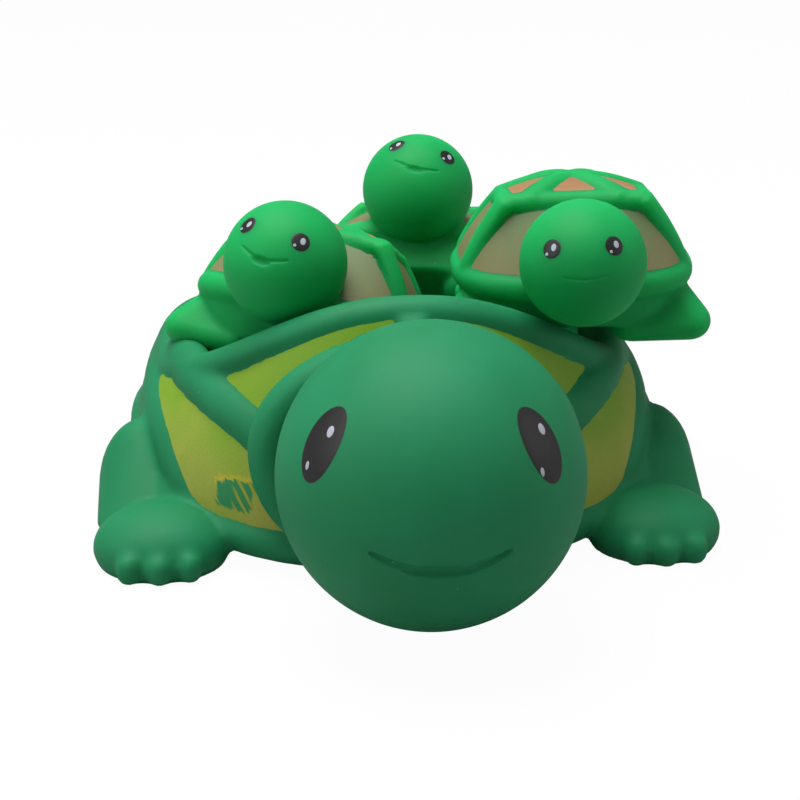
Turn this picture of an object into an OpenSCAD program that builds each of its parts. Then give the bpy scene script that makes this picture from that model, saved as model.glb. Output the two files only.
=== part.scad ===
// Floating bath toy: a mother turtle whose hollow back carries three baby turtles.
// Each turtle is a one-piece rotocast vinyl skin, hollow inside, with paint on its
// shell panels and eyes and a reed squeaker pressed into the hole in its belly.
// Units are millimetres. The mother faces -Y and stands on z = 0, and the origin lies
// on the ground under the middle of her shell.

/* [Mother shell] */
// Width of the shell over its lower margin roll
shell_w = 117; // [105:1:130]
// How far the shell reaches ahead of its middle
shell_front = 55; // [52:0.5:58]
// How far the shell reaches behind its middle
shell_rear = 64.5; // [62:0.5:68]
// Thickness of the rolled margin round the shell
margin_d = 8; // [6:0.1:9]
// Height of the margin's middle at the sides, over the legs
margin_side_z = 17; // [14:0.5:20]
// Height of the margin's middle at the front, under the neck
margin_front_z = 4.5; // [4.2:0.1:7]
// Height of the margin's middle at the back, over the tail
margin_rear_z = 10; // [8:0.5:12]
// Width of the rim round the hollow back, to the middle of its roll
rim_w = 97; // [90:0.5:100]
// How far the rim's middle is ahead of the shell's middle
rim_front = 44; // [42:0.5:46]
// How far the rim's middle is behind the shell's middle
rim_rear = 57; // [54:0.5:58]
// Thickness of the rolled rim
rim_d = 8; // [6.5:0.1:9]
// Height of the rim's middle at the sides
rim_side_z = 31; // [28:0.5:34]
// Height of the rim's middle behind the head
rim_front_z = 52; // [48:0.5:56]
// Height of the rim's middle at the back
rim_rear_z = 26; // [24:0.5:30]
// How far the shell's walls bulge out between rim and margin
flank_bulge = 2.5; // [1:0.1:4]
// Thickness of the ribs between the shell's painted panels
rib_d = 8; // [6:0.1:9]
// How far those ribs stand out of the panels
rib_proud = 1.8; // [1:0.1:2.5]
// Height of the floor of the hollow back
basin_floor_z = 8.2; // [8.2:0.1:12]
// Width of the floor of the hollow back
basin_w = 83; // [78:0.5:86]
// How far that floor reaches ahead of the shell's middle
basin_front = 38.5; // [36:0.5:39]
// How far that floor reaches behind the shell's middle
basin_rear = 51; // [48:0.5:52]
// Width of the flat belly on the ground
belly_w = 88; // [70:1:94]
// Wall of the mother's vinyl skin
mother_wall = 2.4; // [1.8:0.1:3]

/* [Mother head and limbs] */
// Diameter of the head
head_d = 57; // [52:0.5:60]
// How far the head's middle is ahead of the shell's middle
head_reach = 81.5; // [78:0.5:84]
// Height of the head's middle
head_z = 32.5; // [31:0.5:35]
// Diameter of the neck
neck_d = 44; // [38:1:48]
// Width of the collar round the neck, to the middle of its roll
collar_w = 58; // [52:1:62]
// Height of the collar, to the middle of its roll
collar_h = 40; // [36:1:42]
// Thickness of the collar roll
collar_d = 8; // [6:0.1:9]
// Width over the front feet
feet_w = 130; // [124:1:136]
// Width over the rear feet
rear_feet_w = 106; // [100:1:110]
// How far the front feet's middle is ahead of the shell's middle
front_foot_y = 42.5; // [40:0.5:45]
// How far the rear feet's middle is behind the shell's middle
rear_foot_y = 46; // [42:0.5:50]
// Width of a foot
foot_w = 28; // [24:0.5:30]
// Length of a foot
foot_l = 25; // [23:0.5:27]
// Height of a front foot
foot_h = 12.5; // [11:0.5:14]
// Height of a rear foot
rear_foot_h = 19; // [16:0.5:20]
// Width of the thigh over a front foot
thigh_w = 21; // [18:0.5:22]
// Length of the thigh along the body
thigh_l = 21; // [18:0.5:24]
// Height of the thigh from its lowest point, under the ground, to its top
thigh_h = 30; // [26:0.5:32]
// Height of the thigh's middle
thigh_z = 7; // [6:0.5:8]
// Width of one toe
toe_d = 5; // [4:0.1:5.5]
// Length of the tail behind the shell
tail_l = 6; // [4:0.5:9]
// Thickness of the tail where it leaves the shell
tail_d = 12; // [9:0.5:13]

/* [Mother face] */
// Width of a painted eye
eye_w = 9; // [7.5:0.1:11]
// Height of a painted eye
eye_h = 15; // [12:0.1:17]
// Turn of each eye out from the nose, in degrees
eye_turn = 49; // [42:1:56]
// Height of each eye over the head's middle, in degrees
eye_rise = 24; // [16:1:30]
// Lean of each eye's top towards the nose, in degrees
eye_lean = 12; // [0:1:20]
// Width of the smile, in degrees round the head
smile_turn = 62; // [50:1:70]
// Thickness of the smile's line
smile_line = 1.8; // [1.2:0.1:2.4]
// Width of the open part of the mouth
mouth_w = 12; // [9:0.5:15]
// Height of the open part of the mouth
mouth_h = 3.4; // [2.5:0.1:5]
// Drop of the mouth below the head's middle, in degrees
mouth_drop = 14; // [8:1:20]

/* [Baby turtles] */
// Width of a baby's shell over its margin roll
baby_shell_w = 51; // [48:0.5:54]
// Length of a baby's shell over its margin roll
baby_shell_l = 46; // [44:0.5:49]
// Height of a baby from its feet to the top of its shell
baby_h = 34.5; // [33:0.5:36]
// Thickness of a baby's margin roll
baby_margin_d = 6; // [5:0.1:7]
// Height of the margin roll's middle
baby_margin_z = 14; // [12.5:0.5:15]
// Width of the top field of a baby's shell, to the middle of its rib
top_field_w = 34; // [31:0.5:36]
// Length of that top field
top_field_l = 28; // [26:0.5:31]
// Height of the top field's edge
top_field_z = 28.5; // [27:0.5:30]
// Thickness of the ribs on a baby's shell
baby_rib_d = 5.3; // [4.6:0.1:5.6]
// Diameter of a baby's head
baby_head_d = 25.4; // [24:0.1:27]
// How far a baby's head is ahead of its shell's middle
baby_head_reach = 27; // [26:0.5:28]
// Height of a baby's head over its feet
baby_head_z = 23; // [22:0.5:24]
// Width over a baby's front feet
baby_feet_w = 57; // [55:0.5:59]
// Width of a baby's front foot
baby_foot_w = 14; // [12:0.5:16]
// Length of a baby's front foot
baby_foot_l = 14.5; // [12:0.5:16]
// Height of a baby's front foot
baby_foot_h = 8.4; // [7:0.1:10]
// Width over a baby's rear feet
baby_rear_feet_w = 48; // [44:0.5:50]
// Width of a baby's rear foot
baby_rear_foot_w = 12; // [10:0.5:13]
// Diameter of a baby's neck
baby_neck_d = 17; // [14:0.5:18]
// Diameter of a baby's eye
baby_eye_d = 3.6; // [3:0.1:4.2]
// Width of a baby's smile, in degrees round its head
baby_smile_turn = 50; // [40:1:60]
// Drop of a baby's mouth below its head's middle, in degrees
baby_mouth_drop = 10; // [6:1:14]
// Wall of a baby's vinyl skin
baby_wall = 1.8; // [1.4:0.1:2.2]

/* [Where the babies sit] */
// Left baby's head: to the side of the mother's middle, along her, and its height
left_head = [-23.8, -26.9, 59.9];
// Left baby's turn, pitch and roll, in degrees
left_lie = [-22.5, 23, -7.8];
// How the left baby's face turns, rises and tilts on its head, in degrees
left_face = [-1.5, 3.2, -4.7];
// Right baby's head
right_head = [34.4, -42.1, 62.6];
// Right baby's turn, pitch and roll, in degrees
right_lie = [-4.2, -0.5, 1.4];
// Right baby's face on its head, in degrees
right_face = [-5.3, 10.6, 2.5];
// Rear baby's head
rear_head = [8.5, 27.5, 61.6];
// Rear baby's turn, pitch and roll, in degrees
rear_lie = [-10, 60.5, -1];
// Rear baby's face on its head, in degrees
rear_face = [3.1, -16.4, -10.6];

/* [Paint] */
// Depth of the shallow field that holds a coat of paint
coat = 0.4; // [0.3:0.05:0.6]

/* [Squeakers] */
// Diameter of the mother's squeaker cup
cup_d = 18; // [15:0.5:20]
// Height of the mother's squeaker cup
cup_h = 5.6; // [5.5:0.1:5.6]
// Diameter of a baby's squeaker cup
baby_cup_d = 12; // [10:0.5:13]
// Height of a baby's squeaker cup
baby_cup_h = 6.5; // [5.5:0.1:7]
// Wall of a squeaker cup
cup_wall = 1; // [0.8:0.1:1.2]
// Width of a cup's flange past its body
flange = 1.5; // [1:0.1:2]
// Clearance round a cup in its hole
cup_fit = 0.05; // [0.03:0.01:0.1]

/* [Hidden] */

mother_green = "#2f9a68";
baby_green = "#1ea35a";
lime = "#9aa936";
tan_brown = "#b5825a";
ink = "#2a2a2c";
glint = "#f2f4f4";
cup_white = "#e8e6de";
block_red = "#c8473a";
reed_steel = "#c9ccd0";

// Overrun of every cut past the surface that it opens
over = 0.5;

// Unit vector along v
function unit(v) = v / norm(v);
// Turns a flat [x, y] direction and a height into a point
function lift(p, z) = [p[0], p[1], z];
// Point between p and q
function blend(p, q, share) = p + (q - p) * share;

// A solid between rings of points that are stacked from its bottom to its top. Each
// ring runs counterclockwise seen from above, and both ends close on a middle point.
module stack(rings) {
    n = len(rings[0]);
    m = len(rings);
    points = concat([for (r = rings) each r], [middle(rings[0]), middle(rings[m - 1])]);
    sides = [for (i = [0:m - 2]) for (j = [0:n - 1]) let (k = (j + 1) % n)
        each [[i * n + j, (i + 1) * n + j, (i + 1) * n + k], [i * n + j, (i + 1) * n + k, i * n + k]]];
    bottom = [for (j = [0:n - 1]) [m * n, j, (j + 1) % n]];
    top = [for (j = [0:n - 1]) [m * n + 1, (m - 1) * n + (j + 1) % n, (m - 1) * n + j]];
    polyhedron(points = points, faces = concat(sides, bottom, top), convexity = 6);
}
function middle(ring) = [for (c = [0:2]) ring_sum(ring, c) / len(ring)];
function ring_sum(ring, c, i = 0) = i == len(ring) ? 0 : ring[i][c] + ring_sum(ring, c, i + 1);

// A round tube through the points of a path, with a radius at each of them
module tube(path, radii, sides = 8, closed = false, up = [0, 0, 1]) {
    m = len(path);
    ends = closed ? m : m - 1;
    rings = [for (i = [0:m - 1]) let (
        before = closed ? path[(i + m - 1) % m] : path[max(i - 1, 0)],
        after = closed ? path[(i + 1) % m] : path[min(i + 1, m - 1)],
        along = unit(after - before), side = unit(cross(along, up)), rise = cross(side, along))
        each [for (j = [0:sides - 1]) let (f = 360 * j / sides)
            path[i] + radii[i] * (cos(f) * side + sin(f) * rise)]];
    walls = [for (i = [0:ends - 1]) for (j = [0:sides - 1]) let (k = (j + 1) % sides, e = (i + 1) % m)
        each [[i * sides + j, i * sides + k, e * sides + k], [i * sides + j, e * sides + k, e * sides + j]]];
    caps = closed ? [] : [[for (j = [sides - 1:-1:0]) j], [for (j = [0:sides - 1]) (m - 1) * sides + j]];
    polyhedron(points = rings, faces = concat(walls, caps), convexity = 6);
}

// Mother's shell. The angle a runs round the shell from the front by way of +X.
shell_turns = 36;
cavity_turns = 18;
function sign_power(v, e) = sign(v) * pow(abs(v), e);
// Point and outward direction of a rounded oval with its own front and rear lengths
function oval(a, half_w, front, rear, fullness) = [half_w * sign_power(sin(a), 2 / fullness),
    -(cos(a) > 0 ? front : rear) * sign_power(cos(a), 2 / fullness)];
function outward(a, half_w, front, rear, fullness) = lift(unit([
    sign_power(sin(a), 2 - 2 / fullness) / half_w,
    -sign_power(cos(a), 2 - 2 / fullness) / (cos(a) > 0 ? front : rear)]), 0);
function saddle(a, side, front, rear, shape) =
    side + ((cos(a) > 0 ? front : rear) - side) * pow(abs(cos(a)), shape);
margin_fullness = 2.6;
rim_front_fullness = 2.15;
rim_rear_fullness = 2.7;
basin_fullness = 3.1;
function rim_fullness(a) = cos(a) > 0 ? rim_front_fullness : rim_rear_fullness;
margin_shape = 0.9;
rim_shape = 2.6;

function margin_at(a) = lift(oval(a, (shell_w - margin_d) / 2, shell_front - margin_d / 2,
    shell_rear - margin_d / 2, margin_fullness),
    saddle(a, margin_side_z, margin_front_z, margin_rear_z, margin_shape));
function rim_at(a) = lift(oval(a, rim_w / 2, rim_front, rim_rear, rim_fullness(a)),
    saddle(a, rim_side_z, rim_front_z, rim_rear_z, rim_shape));
function shell_out(a) = outward(a, shell_w / 2, shell_front, shell_rear, margin_fullness);
// Point of a roll round the margin or the rim, f degrees up from its outer side
function roll(c, n, r, f) = c + r * (cos(f) * n + [0, 0, sin(f)]);
flank_low_turn = 62;
flank_top_turn = -38;
// Turns round the two rolls, up from their outer side, where a section has its points
margin_rolls = [-55, -5, 35];
rim_rolls = [8, 52, 98, 145];
rim_inner_turn = 190;
belt_shares = [0, 0.3, 0.65, 1];
wall_inset_share = 0.35;
// Point of the panels' surface, from the margin at s = 0 to the rim at s = 1
function flank(a, s, t = 0) = let (n = shell_out(a),
    low = roll(margin_at(a), n, margin_d / 2 - t, flank_low_turn),
    top = roll(rim_at(a), n, rim_d / 2 - t, flank_top_turn))
    blend(low, top, s) + n * (flank_bulge * 4 * s * (1 - s) - t * wall_inset_share);
basin_shares = [0.25, 0.5, 0.75];
belly_share = belly_w / shell_w;
// Outline of the shell's section at the angle a, with every face moved in by t
function shell_section(a, t) = let (n = shell_out(a), m = margin_at(a), k = rim_at(a),
    inner = roll(k, n, rim_d / 2 - t, rim_inner_turn),
    edge = lift(oval(a, basin_w / 2, basin_front, basin_rear, basin_fullness), basin_floor_z))
    concat(
        [lift(oval(a, belly_w / 2 - t, shell_front * belly_share - t, shell_rear * belly_share - t,
            margin_fullness), t)],
        [for (f = margin_rolls) roll(m, n, margin_d / 2 - t, f)],
        t > 0 ? [for (s = belt_shares) flank(a, s, t)] :
            concat([flank(a, 0)], [for (s = belt_shares) flank(a, s, coat)], [flank(a, 1)]),
        [for (f = rim_rolls) roll(k, n, rim_d / 2 - t, f)],
        [inner],
        [for (q = basin_shares) lift(blend(inner, edge, 1 - cos(90 * q)),
            blend(inner, edge, sin(90 * q))[2]) + t * (n * cos(90 * q) - [0, 0, sin(90 * q)])],
        [edge - [0, 0, t]]);
module shell_body(t = 0, turns = shell_turns) {
    sections = [for (i = [0:turns - 1]) shell_section(360 * i / turns, t)];
    stack([for (p = [0:len(sections[0]) - 1]) [for (s = sections) s[p]]]);
}
// The coat of paint round the shell's wall, before the ribs, head and legs are left out
module panel_belt() {
    loop([for (i = [0:shell_turns - 1]) let (a = 360 * i / shell_turns)
        concat([for (s = belt_shares) flank(a, s, coat)],
            [for (k = [len(belt_shares) - 1:-1:0]) flank(a, belt_shares[k])])]);
}
// A ring-shaped solid through closed sections that follow each other round z
module loop(sections) {
    n = len(sections[0]);
    m = len(sections);
    polyhedron(points = [for (s = sections) each s],
        faces = [for (i = [0:m - 1]) for (j = [0:n - 1]) let (k = (j + 1) % n, e = (i + 1) % m)
            each [[i * n + j, e * n + k, i * n + k], [i * n + j, e * n + j, e * n + k]]],
        convexity = 8);
}

// Ribs between the panels: the turn round the shell and the share of the flank's
// height at both ends of each rib on the +X side
diagonal_rib_shares = [[84, 1.1], [60, 0.97], [46, 0.84], [34, 0.61], [27, 0.47]];
side_rib_shares = [[112, 1], [112, 0.63], [112, 0.27], [112, -0.1]];
hind_rib_shares = [[150, 1], [150, 0.63], [150, 0.27], [150, -0.1]];
rear_rib_shares = [[180, 1], [180, 0.63], [180, 0.27], [180, -0.1]];
rib_r = rib_d / 2;
rib_sides = 7;
module mother_rib(run, extra) {
    path = [for (v = run) flank(v[0], v[1]) - (rib_r - rib_proud) * shell_out(v[0])];
    tube(path, [for (p = path) rib_r + extra], sides = rib_sides);
}
module mother_ribs(extra = 0) {
    for (run = [diagonal_rib_shares, side_rib_shares, hind_rib_shares]) for (side = [0, 1])
        mirror([side, 0, 0]) mother_rib(run, extra);
    mother_rib(rear_rib_shares, extra);
}
collar_y = 51.5;
collar_z = 32.5;
collar_steps = 24;
collar_tilt = 4;
module mother_collar(extra = 0) {
    path = [for (i = [0:collar_steps - 1]) let (f = 360 * i / collar_steps)
        [collar_w / 2 * cos(f), -collar_y + collar_h / 2 * sin(f) * tan(collar_tilt),
            collar_z + collar_h / 2 * sin(f)]];
    tube(path, [for (p = path) collar_d / 2 + extra], sides = rib_sides, closed = true, up = [0, 1, 0]);
}
head_at = [0, -head_reach, head_z];
neck_end = [0, -collar_y + collar_d / 2, collar_z];
head_facets = 26;
head_cavity_facets = 14;
neck_sides = 16;
module mother_head(t = 0, facets = head_facets) {
    translate(head_at) sphere(d = head_d - 2 * t, $fn = facets);
    tube([head_at + [0, head_d / 4, 0], neck_end], [neck_d / 2 - t, neck_d / 2 - t], sides = neck_sides);
}

// Front leg: a tall thigh behind the shell's margin, a shank that runs down from it
// behind the foot, a flat foot, and three toes on the foot's front
foot_x = (feet_w - foot_w) / 2;
foot_sink = 2.5;
foot_z = foot_h / 2 - foot_sink;
foot_size = [foot_w, foot_l, foot_h + 2 * foot_sink];
thigh_y = 17;
shank_share = 0.9;
shank_back = 14;
limb_facets = 10;
limb_cavity_facets = 6;
module lump(at, size, t = 0, facets = limb_facets) {
    translate(at) scale([for (c = size) c - 2 * t]) sphere(d = 1, $fn = facets);
}
module front_leg(t, facets) {
    hull() {
        lump([(feet_w - thigh_w) / 2, -thigh_y, thigh_z], [thigh_w, thigh_l, thigh_h], t, facets);
        lump([foot_x + foot_w * (1 - shank_share) / 2, shank_back - front_foot_y, foot_z],
            shank_share * [foot_w, foot_l, foot_h], t, facets);
    }
    lump([foot_x, -front_foot_y, foot_z], foot_size, t, facets);
}
// Rear leg: one lump with a small hip in front of it
rear_foot_share = 0.85;
rear_foot_size = rear_foot_share * [foot_w, foot_l, rear_foot_h];
rear_foot_x = (rear_feet_w - rear_foot_size[0]) / 2;
rear_foot_sink = 1.7;
rear_foot_z = rear_foot_size[2] / 2 - rear_foot_sink;
rear_hip_front = 8;
rear_hip_z = 10;
rear_hip_d = 10;
module rear_leg(facets) {
    hull() {
        lump([rear_foot_x, rear_foot_y, rear_foot_z], rear_foot_size, 0, facets);
        lump([rear_foot_x, rear_foot_y - rear_hip_front, rear_hip_z],
            [rear_hip_d, rear_hip_d, rear_hip_d], 0, limb_cavity_facets);
    }
}
toe_pitch_share = 1.1;
toe_out = 0.5;
toe_back = 1.6;
toe_top = 3.6;
module toes() {
    for (i = [-1:1]) hull() for (z = [toe_d / 2, toe_top])
        lump([foot_x + toe_out + i * toe_d * toe_pitch_share,
            toe_back + abs(i) - front_foot_y - foot_l / 2, z], [toe_d, toe_d, toe_d], 0, limb_cavity_facets);
}
module mother_legs(t = 0, facets = limb_facets) {
    for (side = [0, 1]) mirror([side, 0, 0]) {
        front_leg(t, facets);
        if (t <= 0) rear_leg(facets);
    }
}
module mother_toes() {
    for (side = [0, 1]) mirror([side, 0, 0]) toes();
}
tail_tip_share = 1 / 3;
module mother_tail() {
    tip_d = tail_d * tail_tip_share;
    hull() {
        lump([0, shell_rear - margin_d, margin_rear_z], [tail_d, tail_d, tail_d]);
        lump([0, shell_rear + tail_l - tip_d / 2, margin_rear_z - tip_d], [tip_d, tip_d, tip_d]);
    }
}

// Gap between the paint and the foot of a rib
rib_gap = 0.3;
module mother_panel_paint() color(lime) {
    difference() {
        panel_belt();
        mother_ribs(rib_gap);
        mother_collar(rib_gap);
        mother_head(-rib_gap);
        mother_legs(-rib_gap);
        mother_tail();
    }
}

// Squeaker seat in the belly, under the middle of the basin's back half
cup_y = 24;
seat_h = 3.6;
flange_h = 1.2;
seat_wall = 2.5;
seat_facets = 24;
module seat_boss(d, y) {
    translate([0, y, 0]) cylinder(d = d + 2 * (flange + seat_wall), h = seat_h, $fn = seat_facets);
}
module seat_hole(d, y) {
    facet_share = cos(180 / seat_facets);
    translate([0, y, -over])
        cylinder(d = (d + 2 * cup_fit) / facet_share, h = seat_h + 2 * over, $fn = seat_facets);
    translate([0, y, -over])
        cylinder(d = (d + 2 * (flange + cup_fit)) / facet_share, h = flange_h + cup_fit + over,
            $fn = seat_facets);
}

smile_rise = 7;
smile_steps = 6;
smile_sides = 6;
lens_facets = 10;
// Share of the line's thickness that is left at the corners of the smile
smile_end_share = 0.05;
module smile(at, r, turn, drop, line_r, lens_w, lens_h) {
    shares = [for (i = [-smile_steps:smile_steps]) i / smile_steps];
    path = [for (u = shares) at + r * head_dir(turn / 2 * u, smile_rise * u * u - drop)];
    tube(path, [for (u = shares) line_r * (1 + smile_end_share - pow(abs(u), 3))], sides = smile_sides);
    translate(at) rotate([drop, 0, 0]) translate([0, -r, 0])
        scale([lens_w / 2, lens_h / 2, lens_h / 2]) sphere(r = 1, $fn = lens_facets);
}
// A patch of paint on a head: an oval round the direction that turn and rise give,
// from r_in to r_out from the head's middle
function head_dir(turn, rise) = [sin(turn) * cos(rise), -cos(turn) * cos(rise), sin(rise)];
patch_sides = 14;
patch_ring_shares = [1];
module head_patch(at, r_in, r_out, turn, rise, lean, w, h, sides = patch_sides) {
    d = head_dir(turn, rise);
    x = unit(cross(d, [0, 0, 1])) * -1;
    y = cross(x, d) * -1;
    r = r_in + coat;
    function spot(f, share, radius) = let (u = share * w / 2 * cos(f), v = share * h / 2 * sin(f),
        p = d + ((u * cos(lean) - v * sin(lean)) * x + (u * sin(lean) + v * cos(lean)) * y) / r)
        radius * unit(p);
    translate(at) shell_patch([for (radius = [r_in, r_out]) [for (share = patch_ring_shares)
        [for (j = [0:sides - 1]) spot(360 * j / sides, share, radius)]]], [r_in * d, r_out * d]);
}
// A thin solid between an inner and an outer fan of rings, each fan from its edge in
module shell_patch(fans, poles) {
    n = len(fans[0][0]);
    m = len(fans[0]);
    points = concat([for (fan = fans) each [for (ring = fan) each ring]], poles);
    function at(fan, ring, j) = fan * n * m + ring * n + j % n;
    strips = [for (fan = [0, 1]) for (ring = [0:m - 2]) for (j = [0:n - 1])
        let (a = at(fan, ring, j), b = at(fan, ring, j + 1),
            c = at(fan, ring + 1, j + 1), e = at(fan, ring + 1, j))
        each (fan == 0 ? [[a, b, c], [a, c, e]] : [[a, c, b], [a, e, c]])];
    tips = [for (fan = [0, 1]) for (j = [0:n - 1])
        let (a = at(fan, m - 1, j), b = at(fan, m - 1, j + 1), pole = 2 * n * m + fan)
        fan == 0 ? [a, b, pole] : [a, pole, b]];
    edge = [for (j = [0:n - 1])
        let (a = at(0, 0, j), b = at(0, 0, j + 1), c = at(1, 0, j + 1), e = at(1, 0, j))
        each [[a, c, b], [a, e, c]]];
    polyhedron(points = points, faces = concat(strips, tips, edge), convexity = 4);
}
module mother_eyes(r_out) {
    for (side = [-1, 1])
        head_patch(head_at, head_d / 2 - coat, r_out, side * eye_turn, eye_rise, side * eye_lean,
            eye_w, eye_h);
}
glint_turn = 3;
glint_rise = 5.5;
low_glint_turn = 4;
low_glint_rise = 8.5;
glint_share = 0.19;
low_glint_share = 0.11;
glint_sides = 8;
module mother_glints(r_in, r_out) {
    for (side = [-1, 1]) {
        head_patch(head_at, r_in, r_out, side * eye_turn + glint_turn, eye_rise + glint_rise, 0,
            eye_w * glint_share, eye_h * glint_share, glint_sides);
        head_patch(head_at, r_in, r_out, side * eye_turn - low_glint_turn, eye_rise - low_glint_rise, 0,
            eye_w * low_glint_share, eye_h * low_glint_share, glint_sides);
    }
}
module mother_eye_paint() color(ink) {
    difference() {
        mother_eyes(head_d / 2);
        mother_glints(head_d / 2 - 2 * coat, head_d / 2 + over);
    }
}
module mother_eye_glints() color(glint) mother_glints(head_d / 2 - coat, head_d / 2);
module mother_skin() color(mother_green) {
    difference() {
        intersection() {
            union() {
                difference() {
                    union() {
                        shell_body();
                        mother_ribs();
                        mother_collar();
                        mother_head();
                        mother_legs();
                        mother_toes();
                        mother_tail();
                    }
                    shell_body(mother_wall, cavity_turns);
                    mother_head(mother_wall, head_cavity_facets);
                    mother_legs(mother_wall, limb_cavity_facets);
                }
                seat_boss(cup_d, cup_y);
            }
            translate([-shell_w, -2 * head_reach, 0]) cube([2 * shell_w, 4 * head_reach, 2 * head_reach]);
        }
        mother_eyes(head_d / 2 + over);
        smile(head_at, head_d / 2, smile_turn, mouth_drop, smile_line / 2, mouth_w, mouth_h);
        seat_hole(cup_d, cup_y);
    }
}

// Squeaker: a flanged cup with a breathing hole, a block with a slot, and a reed over it
cup_facets = 64;
breath_d = 3;
reed_l_share = 0.5;
reed_w_share = 0.2;
reed_t = 0.3;
reed_gap = 0.15;
clamp_l_share = 0.12;
clamp_t = 1;
slot_share = 0.8;
breath_facets = 32;
module squeaker_cup(d, h) {
    difference() {
        union() {
            cylinder(d = d, h = h, $fn = cup_facets);
            cylinder(d = d + 2 * flange, h = flange_h, $fn = cup_facets);
        }
        translate([0, 0, flange_h]) cylinder(d = d - 2 * cup_wall, h = h, $fn = cup_facets);
        translate([0, 0, -over]) cylinder(d = breath_d, h = flange_h + 2 * over, $fn = breath_facets);
    }
}
block_h = 2.6;
module reed_block(d) {
    w = d * reed_w_share;
    l = d * reed_l_share;
    clamp_l = d * clamp_l_share;
    deck_z = flange_h + block_h;
    difference() {
        translate([0, 0, flange_h])
            cylinder(d = d - 2 * cup_wall, h = block_h + 2 * reed_gap + reed_t + clamp_t, $fn = cup_facets);
        translate([-d, -l / 2, deck_z]) cube([2 * d, d, 3 * clamp_t]);
        translate([reed_gap - w / 2, reed_gap - l / 2, flange_h - over])
            cube([w - 2 * reed_gap, l * slot_share, block_h + 2 * over]);
        translate([-reed_gap - w / 2, -reed_gap - clamp_l - l / 2, deck_z])
            cube([w + 2 * reed_gap, clamp_l + over, reed_t + 2 * reed_gap]);
    }
}
module reed(d) {
    w = d * reed_w_share;
    l = d * reed_l_share;
    clamp_l = d * clamp_l_share;
    translate([-w / 2, -clamp_l - l / 2, flange_h + block_h + reed_gap]) cube([w, l + clamp_l, reed_t]);
}
module mother_squeaker_cup() color(cup_white) translate([0, cup_y, 0]) squeaker_cup(cup_d, cup_h);
module mother_reed_block() color(block_red) translate([0, cup_y, 0]) reed_block(cup_d);
module mother_reed() color(reed_steel) translate([0, cup_y, 0]) reed(cup_d);

// Baby turtle, in its own frame: facing -Y, its feet on z = 0
baby_front_fullness = 2.9;
baby_rear_fullness = 2;
function baby_fullness(a) = cos(a) > 0 ? baby_front_fullness : baby_rear_fullness;
baby_margin_rolls = [-55, 5, 68];
// Corners of the top field: the turn round the shell, and the shares of its half size
corner_turn_shares = [[60, 0.88, -0.86], [96, 1, 0.1], [146, 0.6, 0.88],
    [214, -0.6, 0.88], [264, -1, 0.1], [300, -0.88, -0.86]];
function field_x(a) = top_field_w / 2 * lookup((a + 60) % 360 - 60,
    concat([[-60, -0.88]], [for (c = corner_turn_shares) [c[0], c[1]]]));
function field_y(a) = top_field_l / 2 * lookup((a + 60) % 360 - 60,
    concat([[-60, -0.86]], [for (c = corner_turn_shares) [c[0], c[2]]]));
function field_edge(a) = [field_x(a), field_y(a), top_field_z];
function baby_margin_at(a) = lift(oval(a, (baby_shell_w - baby_margin_d) / 2,
    (baby_shell_l - baby_margin_d) / 2, (baby_shell_l - baby_margin_d) / 2, baby_fullness(a)), baby_margin_z);
function baby_out(a) = outward(a, baby_shell_w, baby_shell_l, baby_shell_l, baby_fullness(a));
baby_belly_share = 0.78;
baby_belly_z = 1.5;
chest_rise = 3.5;
baby_side_bulge = 1.2;
baby_rib_proud = 1;
apex = [0, 0, baby_h - baby_rib_proud];
baby_side_shares = [0.04, 0.5, 0.88];
baby_top_shares = [0.12, 0.45, 0.72];
baby_crown_share = 0.86;
baby_dome_share = 0.9;
baby_flank_turn = 68;
baby_inset_share = 0.4;
function baby_side(a, s, t = 0) = let (n = baby_out(a),
    low = roll(baby_margin_at(a), n, baby_margin_d / 2 - t, baby_flank_turn),
    bulge = baby_side_bulge * 4 * s * (1 - s),
    inset = s < 1 ? t * baby_inset_share : 0)
    blend(low, field_edge(a) - t * [0, 0, 1], s) + n * (bulge - inset);
function baby_top(a, s, t = 0) = blend(field_edge(a), apex, s)
    + [0, 0, (apex[2] - top_field_z) * (sin(90 * s) - s) * baby_dome_share - t];
baby_belly_w = baby_shell_w * baby_belly_share;
baby_belly_l = baby_shell_l * baby_belly_share;
function baby_belly(a, t) = lift(
    oval(a, baby_belly_w / 2, baby_belly_l / 2, baby_belly_l / 2, baby_fullness(a)),
    baby_belly_z + chest_rise * pow(max(0, cos(a)), 2) + t);
// Number of facets between each corner's rib and the next one's
mid_counts = [1, 2, 2, 2, 1, 4];
// Half of a rib's width, in degrees round the shell
baby_rib_turn = atan(baby_rib_d / baby_shell_w);
rib_turn_limit_share = 0.38;
function corner_turn(c) = corner_turn_shares[c % 6][0] + (c > 5 ? 360 : 0);
// Turns of one panel's points, from the rib at corner c to the next one
function panel_turns(c, half) = let (from = corner_turn(c), to = corner_turn(c + 1),
    inset = min(half, (to - from) * rib_turn_limit_share))
    [for (k = [0:mid_counts[c] + 1]) blend(from + inset, to - inset, k / (mid_counts[c] + 1))];
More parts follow.
